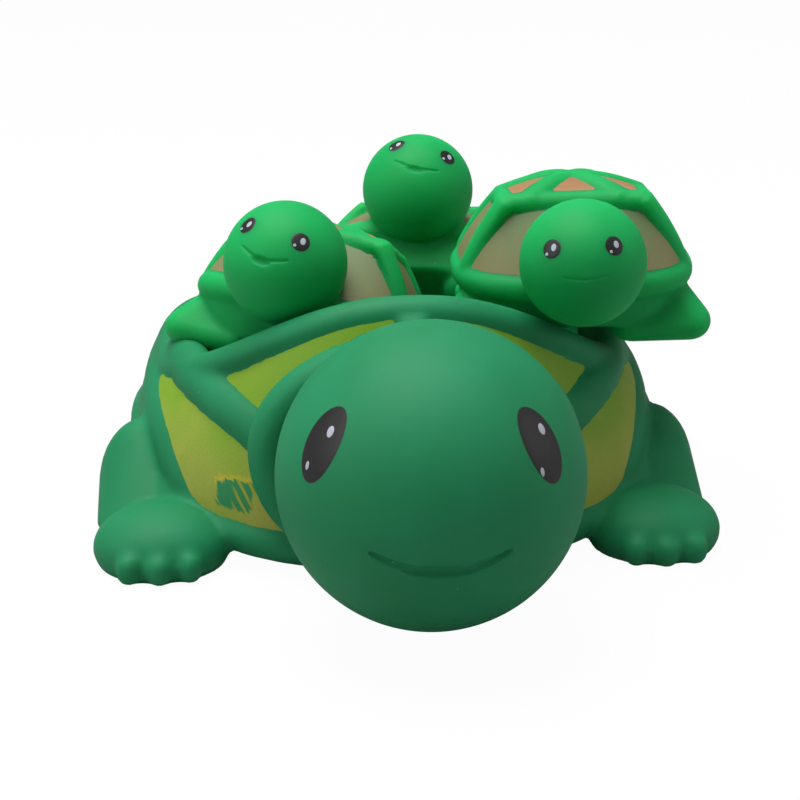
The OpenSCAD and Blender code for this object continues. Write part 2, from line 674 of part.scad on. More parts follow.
// Turns round a ring of the dome, each with 1 where it is the crest of a rib
function dome_turns(half, t = 0) = t > 0 ? [for (i = [0:11]) [30 * i, 0]] :
    [for (c = [0:5]) each concat([[corner_turn(c), 1]], [for (a = panel_turns(c, half)) [a, 0]])];
function rib_rise(a) = baby_rib_proud * unit(baby_out(a) + [0, 0, 1]);
function top_half_turn(s) = baby_rib_turn / (1 - s);
module baby_shell(t = 0) {
    flat = dome_turns(baby_rib_turn, t);
    stack(concat(
        [[for (p = flat) baby_belly(p[0], t)]],
        [for (f = baby_margin_rolls) [for (p = flat)
            roll(baby_margin_at(p[0]), baby_out(p[0]), baby_margin_d / 2 - t, f)]],
        [for (s = baby_side_shares) [for (p = flat) baby_side(p[0], s, t) + p[1] * rib_rise(p[0])]],
        t > 0 ? [] : [[for (p = flat) field_edge(p[0]) + rib_rise(p[0])]],
        [for (s = baby_top_shares) [for (p = dome_turns(top_half_turn(s), t))
            baby_top(p[0], s, t) + p[1] * [0, 0, baby_rib_proud]]],
        [[for (p = dome_turns(top_half_turn(baby_top_shares[2]), t))
            baby_top(p[0], baby_crown_share, t) + [0, 0, t > 0 ? 0 : baby_rib_proud]]]));
}
// A thin solid between two grids of points, the inner one and the outer one
module slab(inner, outer) {
    n = len(inner[0]);
    m = len(inner);
    function at(side, i, j) = side * n * m + i * n + j;
    sheets = [for (side = [0, 1]) for (i = [0:m - 2]) for (j = [0:n - 2])
        let (a = at(side, i, j), b = at(side, i, j + 1), c = at(side, i + 1, j + 1), e = at(side, i + 1, j))
        each (side == 1 ? [[a, e, c], [a, c, b]] : [[a, c, e], [a, b, c]])];
    ends = [for (j = [0:n - 2]) let (k = j + 1, e = m - 1) each [
        [at(0, 0, j), at(1, 0, j), at(1, 0, k)], [at(0, 0, j), at(1, 0, k), at(0, 0, k)],
        [at(0, e, j), at(1, e, k), at(1, e, j)], [at(0, e, j), at(0, e, k), at(1, e, k)]]];
    flanks = [for (i = [0:m - 2]) let (k = i + 1, e = n - 1) each [
        [at(0, i, 0), at(1, k, 0), at(1, i, 0)], [at(0, i, 0), at(0, k, 0), at(1, k, 0)],
        [at(0, i, e), at(1, i, e), at(1, k, e)], [at(0, i, e), at(1, k, e), at(0, k, e)]]];
    polyhedron(points = concat([for (r = inner) each r], [for (r = outer) each r]),
        faces = concat(sheets, ends, flanks), convexity = 4);
}
module side_panel(c) {
    slab([for (s = baby_side_shares) [for (a = panel_turns(c, baby_rib_turn)) baby_side(a, s)]],
        [for (s = baby_side_shares) [for (a = panel_turns(c, baby_rib_turn))
            baby_side(a, s) + coat * unit(baby_out(a) + [0, 0, 1])]]);
}
module top_panel(c) {
    slab([for (s = baby_top_shares) [for (a = panel_turns(c, top_half_turn(s))) baby_top(a, s)]],
        [for (s = baby_top_shares) [for (a = panel_turns(c, top_half_turn(s))) baby_top(a, s, -coat)]]);
}
module baby_panel_paint() {
    for (c = [0:4]) side_panel(c);
    difference() {
        side_panel(5);
        baby_head(-rib_gap);
    }
    for (c = [0:5]) top_panel(c);
}
baby_head_at = [0, -baby_head_reach, baby_head_z];
baby_head_facets = 20;
baby_neck_start = [0, 4, -1];
baby_neck_end = [0, -13, 17];
baby_neck_sides = 8;
module baby_head(t = 0, facets = baby_head_facets) {
    translate(baby_head_at) sphere(d = baby_head_d - 2 * t, $fn = facets);
    tube([baby_head_at + baby_neck_start, baby_neck_end], [baby_neck_d / 2 - t, baby_neck_d / 2 - t],
        sides = baby_neck_sides);
}
baby_foot_sink = 0.6;
baby_hip_d = 10;
baby_foot_y = 14.5;
baby_hip_at = [16.5, -10.5, 11];
baby_rear_foot_y = 15;
baby_rear_hip_at = [14, 11, 10];
baby_rear_foot_share = 0.95;
baby_limb_facets = 8;
baby_hip_facets = 6;
module baby_leg(at, size, hip_at) {
    hull() {
        lump(at + [0, 0, size[2] / 2 - baby_foot_sink], size, 0, baby_limb_facets);
        lump(hip_at, [baby_hip_d, baby_hip_d, baby_hip_d], 0, baby_hip_facets);
    }
}
baby_foot_x = (baby_feet_w - baby_foot_w) / 2;
baby_toe_d = 3.4;
baby_toe_h = 4.8;
baby_toe_z = 2.6;
baby_toe_back = 1.45;
baby_toe_out = 0.5;
baby_toe_facets = 5;
module baby_legs() {
    for (side = [0, 1]) mirror([side, 0, 0]) {
        baby_leg([baby_foot_x, -baby_foot_y, 0], [baby_foot_w, baby_foot_l, baby_foot_h], baby_hip_at);
        baby_leg([(baby_rear_feet_w - baby_rear_foot_w) / 2, baby_rear_foot_y, 0],
            [baby_rear_foot_w, baby_rear_foot_w, baby_foot_h * baby_rear_foot_share], baby_rear_hip_at);
        for (i = [-1:1])
            lump([baby_foot_x + i * baby_toe_d + baby_toe_out,
                baby_toe_back + abs(i) - baby_foot_y - baby_foot_l / 2, baby_toe_z],
                [baby_toe_d, baby_toe_d, baby_toe_h], 0, baby_toe_facets);
    }
}
baby_cup_y = 4;
baby_cavity_facets = 8;
baby_line_r = 0.4;
baby_mouth_w = 4;
baby_mouth_h = 1.2;
module baby_skin(face) {
    difference() {
        union() {
            difference() {
                union() {
                    baby_shell();
                    baby_head();
                    baby_legs();
                }
                baby_shell(baby_wall);
                baby_head(baby_wall, baby_cavity_facets);
            }
            translate([0, 0, baby_belly_z]) seat_boss(baby_cup_d, baby_cup_y);
        }
        faced(face) {
            baby_eyes(baby_head_d / 2 + over);
            smile(baby_head_at, baby_head_d / 2, baby_smile_turn, baby_mouth_drop, baby_line_r, baby_mouth_w,
                baby_mouth_h);
        }
        translate([0, 0, baby_belly_z]) seat_hole(baby_cup_d, baby_cup_y);
    }
}
baby_eye_turn = 33.5;
baby_eye_rise = 17.5;
baby_glint_turn = 2;
baby_glint_rise = 1;
baby_low_glint_turn = 4;
baby_low_glint_rise = 4.2;
baby_eye_sides = 10;
baby_glint_sides = 6;
baby_glint_share = 0.34;
baby_low_glint_share = 0.2;
// Turns, lifts and tilts a face about the middle of its head
module faced(face) {
    translate(baby_head_at) rotate([0, 0, face[0]]) rotate([-face[1], 0, 0]) rotate([0, -face[2], 0])
        translate(-baby_head_at) children();
}
module baby_eyes(r_out) {
    for (side = [-1, 1])
        head_patch(baby_head_at, baby_head_d / 2 - coat, r_out, side * baby_eye_turn, baby_eye_rise, 0,
            baby_eye_d, baby_eye_d, baby_eye_sides);
}
module baby_glints(r_in, r_out) {
    for (side = [-1, 1]) {
        head_patch(baby_head_at, r_in, r_out, side * baby_eye_turn + baby_glint_turn,
            baby_eye_rise + baby_glint_rise, 0, baby_eye_d * baby_glint_share,
            baby_eye_d * baby_glint_share, baby_glint_sides);
        head_patch(baby_head_at, r_in, r_out, side * baby_eye_turn - baby_low_glint_turn,
            baby_eye_rise - baby_low_glint_rise, 0, baby_eye_d * baby_low_glint_share,
            baby_eye_d * baby_low_glint_share, baby_glint_sides);
    }
}
module baby_eye_paint(face) {
    faced(face) difference() {
        baby_eyes(baby_head_d / 2);
        baby_glints(baby_head_d / 2 - 2 * coat, baby_head_d / 2 + over);
    }
}
module baby_eye_glints(face) faced(face) baby_glints(baby_head_d / 2 - coat, baby_head_d / 2);
// Seats a baby with its head at the given place, turned, pitched up and rolled
module seated(at, lie) {
    translate(at) rotate([0, 0, lie[0]]) rotate([-lie[1], 0, 0]) rotate([0, -lie[2], 0])
        translate(-baby_head_at) children();
}
module baby_cup() translate([0, baby_cup_y, baby_belly_z]) squeaker_cup(baby_cup_d, baby_cup_h);
module baby_block() translate([0, baby_cup_y, baby_belly_z]) reed_block(baby_cup_d);
module baby_reed() translate([0, baby_cup_y, baby_belly_z]) reed(baby_cup_d);

module left_baby_skin() color(baby_green) seated(left_head, left_lie) baby_skin(left_face);
module left_baby_panel_paint() color(tan_brown) seated(left_head, left_lie) baby_panel_paint();
module left_baby_eye_paint() color(ink) seated(left_head, left_lie) baby_eye_paint(left_face);
module left_baby_eye_glints() color(glint) seated(left_head, left_lie) baby_eye_glints(left_face);
module left_baby_squeaker_cup() color(cup_white) seated(left_head, left_lie) baby_cup();
module left_baby_reed_block() color(block_red) seated(left_head, left_lie) baby_block();
module left_baby_reed() color(reed_steel) seated(left_head, left_lie) baby_reed();
module right_baby_skin() color(baby_green) seated(right_head, right_lie) baby_skin(right_face);
module right_baby_panel_paint() color(tan_brown) seated(right_head, right_lie) baby_panel_paint();
module right_baby_eye_paint() color(ink) seated(right_head, right_lie) baby_eye_paint(right_face);
module right_baby_eye_glints() color(glint) seated(right_head, right_lie) baby_eye_glints(right_face);
module right_baby_squeaker_cup() color(cup_white) seated(right_head, right_lie) baby_cup();
module right_baby_reed_block() color(block_red) seated(right_head, right_lie) baby_block();
module right_baby_reed() color(reed_steel) seated(right_head, right_lie) baby_reed();

module rear_baby_skin() color(baby_green) seated(rear_head, rear_lie) baby_skin(rear_face);
module rear_baby_panel_paint() color(tan_brown) seated(rear_head, rear_lie) baby_panel_paint();
module rear_baby_eye_paint() color(ink) seated(rear_head, rear_lie) baby_eye_paint(rear_face);
module rear_baby_eye_glints() color(glint) seated(rear_head, rear_lie) baby_eye_glints(rear_face);
module rear_baby_squeaker_cup() color(cup_white) seated(rear_head, rear_lie) baby_cup();
module rear_baby_reed_block() color(block_red) seated(rear_head, rear_lie) baby_block();
module rear_baby_reed() color(reed_steel) seated(rear_head, rear_lie) baby_reed();

mother_skin();
mother_panel_paint();
mother_eye_paint();
mother_eye_glints();
mother_squeaker_cup();
mother_reed_block();
mother_reed();
left_baby_skin();
left_baby_panel_paint();
left_baby_eye_paint();
left_baby_eye_glints();
left_baby_squeaker_cup();
left_baby_reed_block();
left_baby_reed();
right_baby_skin();
right_baby_panel_paint();
right_baby_eye_paint();
right_baby_eye_glints();
right_baby_squeaker_cup();
right_baby_reed_block();
right_baby_reed();
rear_baby_skin();
rear_baby_panel_paint();
rear_baby_eye_paint();
rear_baby_eye_glints();
rear_baby_squeaker_cup();
rear_baby_reed_block();
rear_baby_reed();
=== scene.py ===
# Floating bath toy: a mother turtle with a hollow back and the three baby turtles that
# ride in it. All four are rotocast vinyl skins with sprayed panels and printed eyes.
import math

import bmesh
import bpy
import numpy as np
from mathutils import Matrix, Vector
from mathutils.bvhtree import BVHTree


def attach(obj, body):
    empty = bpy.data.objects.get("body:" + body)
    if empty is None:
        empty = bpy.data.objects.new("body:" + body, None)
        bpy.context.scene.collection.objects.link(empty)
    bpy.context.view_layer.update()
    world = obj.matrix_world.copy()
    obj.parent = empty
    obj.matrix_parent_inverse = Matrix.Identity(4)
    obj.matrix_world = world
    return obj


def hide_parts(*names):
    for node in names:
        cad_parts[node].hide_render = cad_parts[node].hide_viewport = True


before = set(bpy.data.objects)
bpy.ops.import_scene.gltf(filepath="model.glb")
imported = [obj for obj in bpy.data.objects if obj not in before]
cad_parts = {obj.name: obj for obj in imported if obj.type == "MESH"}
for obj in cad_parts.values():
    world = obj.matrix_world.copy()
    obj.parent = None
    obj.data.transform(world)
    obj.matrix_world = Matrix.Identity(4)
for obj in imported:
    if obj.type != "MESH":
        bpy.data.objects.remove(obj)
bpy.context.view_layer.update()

# Mother's skin: one hollow skin of soft PVC, rotocast in a mould, with the shell, its
# hollowed back, head, neck, collar, four legs and tail in one piece. The mould leaves
# every rib and crease rounded, and the skin has the satin look of unpainted vinyl.
MM = 0.001

# Sizes and places are in millimetres and turns in degrees, both from the middle of the
# shell. A turn of 0 is the front, on -Y. The shell's own functions take turns in radians.
SHELL_TURNS = 160
SHELL_HALF_W, SHELL_FRONT, SHELL_REAR, SHELL_FULLNESS = 58.5, 55.0, 64.5, 2.6
BELLY_HALF_W = 44.0
MARGIN_R, MARGIN_TOP = 4.0, 62
MARGIN_SIDE_Z, MARGIN_FRONT_Z, MARGIN_REAR_Z = 17.0, 4.5, 10.0
RIM_R, RIM_INSIDE = 3.8, 190
RIM_HALF_W, RIM_FRONT, RIM_REAR = 48.5, 44.0, 57.0
RIM_SIDE_Z, RIM_FRONT_Z, RIM_REAR_Z = 31.0, 52.0, 26.0
BOWL_HALF_W, BOWL_FRONT, BOWL_REAR, BOWL_FULLNESS, BOWL_FLOOR_Z = 41.5, 38.5, 51.0, 3.1, 8.2
HEAD_AT = np.array([0.0, -81.5, 32.5])
HEAD_R = 28.5
NECK_R = 19.5
NECK_PATH = [HEAD_AT + [0, 14, 0], [0, -60, 30], [0, -47.5, 27]]
COLLAR_Y, COLLAR_Z, COLLAR_R, COLLAR_LEAN = -52.2, 27, 4.2, 1.4
COLLAR_HALF_W, COLLAR_ABOVE, COLLAR_BELOW = 29, 19.3, 21
# Ribs run through points of the panels' surface, given as turn and share of its height
RIB_R = 4.0
FRONT_RIB = ((0, 1.0), (0, 0.1))
REAR_RIB = ((180, 1.02), (180, -0.1))
DIAGONAL_RIB = ((84, 1.5), (66, 1.15), (46, 0.81), (34, 0.61), (27, 0.47))
FLANK_BAND = ((47.5, -0.13), (55, 0.08), (63, 0.295), (75, 0.5), (81, 0.61), (92, 0.79), (106, 0.93))
HIP_RIB = ((112, 1.02), (112, -0.1))
TAIL_SIDE_RIB = ((150, 1.02), (150, -0.1))
# Limbs are skin stretched over balls, each with its place, radii and number of sides
FRONT_FOOT = ((51, -42.5, 3.75), (14, 12.5, 8.75), 48)
THIGH = (((54.5, -17, 7), (10.5, 10.5, 15), 32), ((52.4, -28.5, 3.75), (12.6, 11.2, 5.6), 32))
REAR_FOOT = (((41.1, 46, 6.4), (11.9, 10.6, 8.1), 32), ((41.1, 38, 10), (5, 5, 5), 16))
TAIL = (((0, 56.5, 10), (6, 6, 6), 24), ((0, 68.5, 6), (2, 2, 2), 16))
TOE_X, TOE_Y, TOE_GAP, TOE_R, TOE_HEIGHTS = 51.3, -54.3, 6.0, 2.7, (2.6, 3.8)
MOTHER_VOXEL = 0.9


def power(value, exponent):
    """A power that keeps the sign."""
    return np.sign(value) * np.abs(value) ** exponent


def oval(turn, half_w, front, rear, fullness):
    """Points round a rounded oval, from its front, on -Y."""
    length = np.where(np.cos(turn) > 0, front, rear)
    x = half_w * power(np.sin(turn), 2 / fullness)
    y = -length * power(np.cos(turn), 2 / fullness)
    return np.stack([x, y, 0 * turn], -1)


def outward(turn, half_w, front, rear, fullness):
    """The level direction that faces away from such an oval."""
    length = np.where(np.cos(turn) > 0, front, rear)
    x = power(np.sin(turn), 2 - 2 / fullness) / half_w
    y = -power(np.cos(turn), 2 - 2 / fullness) / length
    d = np.stack([x, y, 0 * turn], -1)
    return d / np.linalg.norm(d, axis=-1, keepdims=True)


def saddle(turn, side, front, rear, shape):
    """A height that goes from one value at the sides to others at the front and rear."""
    end = np.where(np.cos(turn) > 0, front, rear)
    return side + (end - side) * np.abs(np.cos(turn)) ** shape


def roll(centre, out, radius, degrees):
    """Points on the round of an edge, at an angle up from its outward direction."""
    rise = np.radians(degrees)[..., None]
    return centre + radius * (np.cos(rise) * out + np.sin(rise) * np.array([0, 0, 1]))


def margin_at(turn):
    edge = oval(turn, SHELL_HALF_W - MARGIN_R, SHELL_FRONT - MARGIN_R, SHELL_REAR - MARGIN_R,
                SHELL_FULLNESS)
    edge[..., 2] = saddle(turn, MARGIN_SIDE_Z, MARGIN_FRONT_Z, MARGIN_REAR_Z, 0.9)
    return edge


def rim_at(turn):
    edge = oval(turn, RIM_HALF_W, RIM_FRONT, RIM_REAR, np.where(np.cos(turn) > 0, 2.15, 2.7))
    edge[..., 2] = saddle(turn, RIM_SIDE_Z, RIM_FRONT_Z, RIM_REAR_Z, 2.6)
    return edge


def rim_foot(turn):
    """How far down its outside the rim's round goes before the panels begin, in degrees."""
    aside = 180 - np.abs(np.degrees(turn) % 360 - 180)
    return np.interp(aside, (0, 15, 40, 70, 100, 180), (-12, -18, -46, -20, -20, -38))


def shell_out(turn):
    return outward(turn, SHELL_HALF_W, SHELL_FRONT, SHELL_REAR, SHELL_FULLNESS)


def flank(turn, share, lift=0.0):
    """The panels' surface, from the margin at share 0 up to the rim at share 1."""
    out = shell_out(turn)
    low = roll(margin_at(turn), out, MARGIN_R, MARGIN_TOP)
    top = roll(rim_at(turn), out, RIM_R, rim_foot(turn))
    share = np.asarray(share, float)[..., None]
    bulge = 0.8 + 1.7 * np.cos(np.asarray(turn)[..., None]) ** 2
    return low + (top - low) * share + out * (bulge * 4 * share * (1 - share) + lift)


def net(rows, closed_rows=False):
    """Quads over a grid of points whose rows close on themselves, with both ends capped."""
    rows = np.asarray(rows)
    m, n = rows.shape[:2]
    j = np.arange(n)
    k = (j + 1) % n
    quads = [np.stack([i * n + j, i * n + k, ((i + 1) % m) * n + k, ((i + 1) % m) * n + j], -1)
             for i in range(m if closed_rows else m - 1)]
    points = rows.reshape(-1, 3)
    faces = [list(q) for q in np.concatenate(quads).tolist()]
    if not closed_rows:
        points = np.concatenate([points, [rows[0].mean(0), rows[-1].mean(0)]])
        faces += [[m * n, int(b), int(a)] for a, b in zip(j, k)]
        faces += [[m * n + 1, (m - 1) * n + int(a), (m - 1) * n + int(b)] for a, b in zip(j, k)]
    return points, faces


def tube(path, radius, sides=20, closed=False, up=(0, 0, 1), wide=1.0):
    """A tube along a path, whose section is as much wider than high as wide says."""
    path = np.asarray(path, float)
    if closed:
        along = np.roll(path, -1, 0) - np.roll(path, 1, 0)
    else:
        along = np.gradient(path, axis=0)
    along /= np.linalg.norm(along, axis=1, keepdims=True)
    side = np.cross(along, np.asarray(up, float))
    side /= np.linalg.norm(side, axis=1, keepdims=True)
    rise = np.cross(side, along)
    around = np.linspace(0, 2 * np.pi, sides, endpoint=False)[None, :, None]
    rows = path[:, None] + radius * (wide * np.cos(around) * side[:, None] + np.sin(around) * rise[:, None])
    return net(rows, closed)


def ball(at, radii, sides=40):
    """A ball or an egg, as rings of points."""
    rise = np.linspace(-np.pi / 2, np.pi / 2, sides // 2 + 1)[1:-1, None]
    turn = np.linspace(0, 2 * np.pi, sides, endpoint=False)[None]
    unit = np.stack([np.cos(rise) * np.cos(turn), np.cos(rise) * np.sin(turn), np.sin(rise) + 0 * turn], -1)
    return net(np.asarray(at, float) + unit * np.asarray(radii, float))


def hull(*lumps):
    """The skin stretched over some lumps."""
    mesh = bmesh.new()
    for lump in lumps:
        for p in lump[0]:
            mesh.verts.new(p)
    found = bmesh.ops.convex_hull(mesh, input=mesh.verts)
    spare = {v for v in found["geom_interior"] + found["geom_unused"] if isinstance(v, bmesh.types.BMVert)}
    bmesh.ops.delete(mesh, geom=list(spare), context="VERTS")
    mesh.verts.index_update()
    points = np.array([v.co[:] for v in mesh.verts])
    faces = [[v.index for v in f.verts] for f in mesh.faces]
    mesh.free()
    return points, faces


def fuse(lumps, voxel):
    """One skin round overlapping lumps, as the mould sees them."""
    points, faces, count = [], [], 0
    for p, f in lumps:
        points.append(p)
        faces += [[i + count for i in face] for face in f]
        count += len(p)
    mesh = bpy.data.meshes.new("lump")
    mesh.from_pydata(np.concatenate(points).tolist(), [], faces)
    lump = bpy.data.objects.new("lump", mesh)
    bpy.context.collection.objects.link(lump)
    wrap = lump.modifiers.new("wrap", "REMESH")
    wrap.mode = "VOXEL"
    wrap.voxel_size = voxel
    skin = lump.evaluated_get(bpy.context.evaluated_depsgraph_get()).to_mesh()
    found = np.empty(3 * len(skin.vertices))
    skin.vertices.foreach_get("co", found)
    quads = [list(p.vertices) for p in skin.polygons]
    found = found.reshape(-1, 3).copy()
    bpy.data.objects.remove(lump)
    bpy.data.meshes.remove(mesh)
    return found, quads


def neighbours(faces):
    """The edges of a mesh, each once, as pairs of points."""
    edges = set()
    for f in faces:
        for i, j in zip(f, f[1:] + f[:1]):
            edges.add((i, j) if i < j else (j, i))
    return np.array(sorted(edges))


def soften(points, edges, rounds, pulls=(0.5, -0.52)):
    """Rounds off the creases as the vinyl's thickness does, with no shrinking."""
    n = len(points)
    i, j = edges[:, 0], edges[:, 1]
    count = np.bincount(i, minlength=n) + np.bincount(j, minlength=n)
    for _ in range(rounds):
        for pull in pulls:
            mean = np.stack([np.bincount(i, points[j, c], n) + np.bincount(j, points[i, c], n)
                             for c in range(3)], -1) / count[:, None]
            points = points + pull * (mean - points)
    return points


def head_dir(turn, rise):
    """The direction from a head's centre at a turn and a rise."""
    turn, rise = np.radians(turn), np.radians(rise)
    level = np.cos(rise)
    return np.stack([np.sin(turn) * level, -np.cos(turn) * level, np.sin(rise) + 0 * turn], -1)


def shell_lump():
    """The shell from the belly over the margin, panels and rim down into the bowl."""
    turn = np.linspace(0, 2 * np.pi, SHELL_TURNS, endpoint=False)
    out, margin, rim = shell_out(turn), margin_at(turn), rim_at(turn)
    belly = oval(turn, SHELL_HALF_W, SHELL_FRONT, SHELL_REAR, SHELL_FULLNESS) * BELLY_HALF_W / SHELL_HALF_W
    floor_edge = oval(turn, BOWL_HALF_W, BOWL_FRONT, BOWL_REAR, BOWL_FULLNESS) + [0, 0, BOWL_FLOOR_Z]
    inner = roll(rim, out, RIM_R, RIM_INSIDE)
    rows = [belly * 0.5, belly]
    rows += [roll(margin, out, MARGIN_R, rise) for rise in np.linspace(-80, MARGIN_TOP, 12)[:-1]]
    rows += [flank(turn, share + 0 * turn) for share in np.linspace(0, 1, 16)]
    over_rim = np.linspace(rim_foot(turn), RIM_INSIDE + 0 * turn, 16)[1:-1]
    rows += [roll(rim, out, RIM_R, rise) for rise in over_rim]
    for dip in np.radians(np.linspace(0, 90, 12)[:-1]):
        row = inner + (floor_edge - inner) * (1 - math.cos(dip))
        row[:, 2] = inner[:, 2] + (floor_edge[:, 2] - inner[:, 2]) * math.sin(dip)
        rows.append(row)
    rows += [floor_edge, floor_edge * [0.5, 0.5, 1]]
    return net(rows)


def rib_lump(run, wide=1.0, sunk=2.2):
    """A rib along its run, with its middle sunk under the panels' surface."""
    run = np.array(run, float)
    along = np.linspace(0, len(run) - 1, 28)
    turn = np.radians(np.interp(along, np.arange(len(run)), run[:, 0]))
    share = np.interp(along, np.arange(len(run)), run[:, 1])
    step = 0.01
    around = flank(turn + step, share) - flank(turn - step, share)
    upward = flank(turn, share + step) - flank(turn, share - step)
    return tube(flank(turn, share, -sunk), RIB_R, up=np.cross(around, upward), wide=wide)


def mirrored(lump):
    """The same lump on the other side."""
    points, faces = lump
    return points * [-1, 1, 1], [f[::-1] for f in faces]


def collar_lump():
    """The ring that the neck comes out of, squarer below than above."""
    turn = np.linspace(0, 2 * np.pi, 96, endpoint=False)
    across, up = np.cos(turn), np.sin(turn)
    x = COLLAR_HALF_W * power(across, np.where(up < 0, 0.75, 1.0))
    z = COLLAR_Z + np.where(up < 0, COLLAR_BELOW, COLLAR_ABOVE) * up
    return tube(np.stack([x, COLLAR_Y + COLLAR_LEAN * up, z], -1), COLLAR_R, closed=True, up=(0, 1, 0))


def limb(balls):
    """Skin stretched over a table of balls."""
    return hull(*(ball(*each) for each in balls))


def toe(i):
    """One of three toes, of which the middle one reaches furthest."""
    at = [(TOE_X + i * TOE_GAP, TOE_Y + abs(i), z) for z in TOE_HEIGHTS]
    return hull(*(ball(p, (TOE_R,) * 3, 16) for p in at))


lumps = [shell_lump(), rib_lump(FRONT_RIB), rib_lump(REAR_RIB)]
for rib in ((DIAGONAL_RIB, 1.25), (FLANK_BAND, 1.6, 3.3), (HIP_RIB,), (TAIL_SIDE_RIB,)):
    lumps += [rib_lump(*rib), mirrored(rib_lump(*rib))]
lumps += [collar_lump(), ball(HEAD_AT, (HEAD_R,) * 3, 96), tube(NECK_PATH, NECK_R, 64)]
limbs = [ball(*FRONT_FOOT), limb(THIGH), limb(REAR_FOOT)] + [toe(i) for i in (-1, 0, 1)]
lumps += limbs + [mirrored(lump) for lump in limbs]
lumps.append(limb(TAIL))
mother_points, mother_faces = fuse(lumps, MOTHER_VOXEL)


def stand(points):
    """Flattens what the floor of the mould cuts off."""
    points[:, 2] = np.maximum(points[:, 2], 0)
    return points


def true_ball(points, at, radius, reach):
    """Puts the head back on its true ball where only the head shows."""
    away = points - at
    far = np.linalg.norm(away, axis=1, keepdims=True)
    near = np.clip(1 - np.abs(far - radius) / reach, 0, 1)
    near = near * near * (3 - 2 * near)
    return points + away / far * (radius - far) * np.minimum(1, near * 1.6)


mother_edges = neighbours(mother_faces)
mother_points = stand(soften(stand(mother_points), mother_edges, rounds=6))
mother_points = true_ball(mother_points, HEAD_AT, HEAD_R, reach=0.5)


def make_piece(name, points, faces):
    """A piece of the toy from points in millimetres."""
    mesh = bpy.data.meshes.new(name)
    mesh.from_pydata((np.asarray(points) * MM).tolist(), [], faces)
    mesh.validate()
    piece = bpy.data.objects.new(name, mesh)
    bpy.context.collection.objects.link(piece)
    mesh.shade_smooth()
    return piece


def refine(points, faces, near, cuts):
    """Cuts the faces near a place finer, so that it can take a crease."""
    mesh = bmesh.new()
    verts = [mesh.verts.new(p) for p in points]
    for f in faces:
        mesh.faces.new([verts[i] for i in f])
    mesh.verts.ensure_lookup_table()
    inside = near(np.asarray(points))
    mesh.verts.index_update()
    edges = [e for e in mesh.edges if inside[e.verts[0].index] and inside[e.verts[1].index]]
    bmesh.ops.subdivide_edges(mesh, edges=edges, cuts=cuts, use_grid_fill=True)
    mesh.verts.index_update()
    points = np.array([v.co[:] for v in mesh.verts])
    faces = [[v.index for v in f.verts] for f in mesh.faces]
    mesh.free()
    return points, faces


SMILE_STEPS = 121
SMILE_MIDDLE = SMILE_STEPS // 2
CREASE_DEPTH, THINNING, END_FADE = 0.9, 0.55, 0.06
LIP_HEIGHT, LIP_ASIDE = 0.22, 2.1
MOUTH_DEPTH = 0.42


def smile_path(at, radius, turn, drop, rise, face=np.eye(3), bend=2.0):
    """The smile's line on a head: its width as a turn, and how far its ends rise."""
    along = np.linspace(-1, 1, SMILE_STEPS)
    return at + radius * head_dir(turn / 2 * along, -drop + rise * np.abs(along) ** bend) @ face.T


def smile(points, faces, at, radius, path, line, lens, face=np.eye(3)):
    """Presses the smile into the head: a crease along the path, open in its middle."""
    centre = path[SMILE_MIDDLE]
    reach = 1.5 * np.linalg.norm(path[0] - centre)

    def close(p):
        hit = np.linalg.norm(p - centre, axis=1) < reach
        gaps = np.linalg.norm(p[hit][:, None] - path[None, ::6], axis=2).min(1)
        hit[hit] = gaps < max(line * 4.5, lens[1])
        return hit

    points, faces = refine(points, faces, close, cuts=3)
    away = points - at
    far = np.linalg.norm(away, axis=1)
    idx = np.nonzero((np.linalg.norm(points - centre, axis=1) < reach) & (far > radius * 0.9))[0]
    gap = np.linalg.norm(points[idx, None] - path[None], axis=2)
    best = gap.argmin(1)
    gap = gap.min(1)
    along = np.abs(np.linspace(-1, 1, SMILE_STEPS)[best])
    width = line * (1 - THINNING * along ** 3)
    fade = np.clip((1 - along) / END_FADE, 0, 1) ** 0.5
    depth = -line * CREASE_DEPTH * np.exp(-(gap / width) ** 2) * fade
    depth += line * LIP_HEIGHT * np.exp(-((gap - LIP_ASIDE * width) / width) ** 2) * fade
    middle = (centre - at) / np.linalg.norm(centre - at)
    side = face @ np.array([1.0, 0, 0])
    high = np.cross(side, middle)
    across = (points[idx] - centre) @ side / (lens[0] / 2)
    above = (points[idx] - centre) @ high / (lens[1] / 2)
    parted = np.clip(1 - across * across - above * above, 0, 1)
    depth = np.minimum(depth, -lens[1] * MOUTH_DEPTH * parted ** 0.5)
    points[idx] += away[idx] / far[idx, None] * depth[:, None]
    return points, faces


FACE_TURN, SMILE_TURN = -5.7, -2.2
SMILE_WIDTH, SMILE_DROP, SMILE_RISE, SMILE_LINE, SMILE_OPENING = 52, 14, 6, 0.9, (14, 2.6)
mother_face = np.array(Matrix.Rotation(math.radians(FACE_TURN), 3, "Z"))
smile_turn = np.array(Matrix.Rotation(math.radians(SMILE_TURN), 3, "Z"))
mother_smile = smile_path(HEAD_AT, HEAD_R, SMILE_WIDTH, SMILE_DROP, SMILE_RISE, smile_turn)
mother_points, mother_faces = smile(mother_points, mother_faces, HEAD_AT, HEAD_R, mother_smile,
                                    SMILE_LINE, SMILE_OPENING, smile_turn)
mother_skin = make_piece("mother_turtle_skin", mother_points, mother_faces)


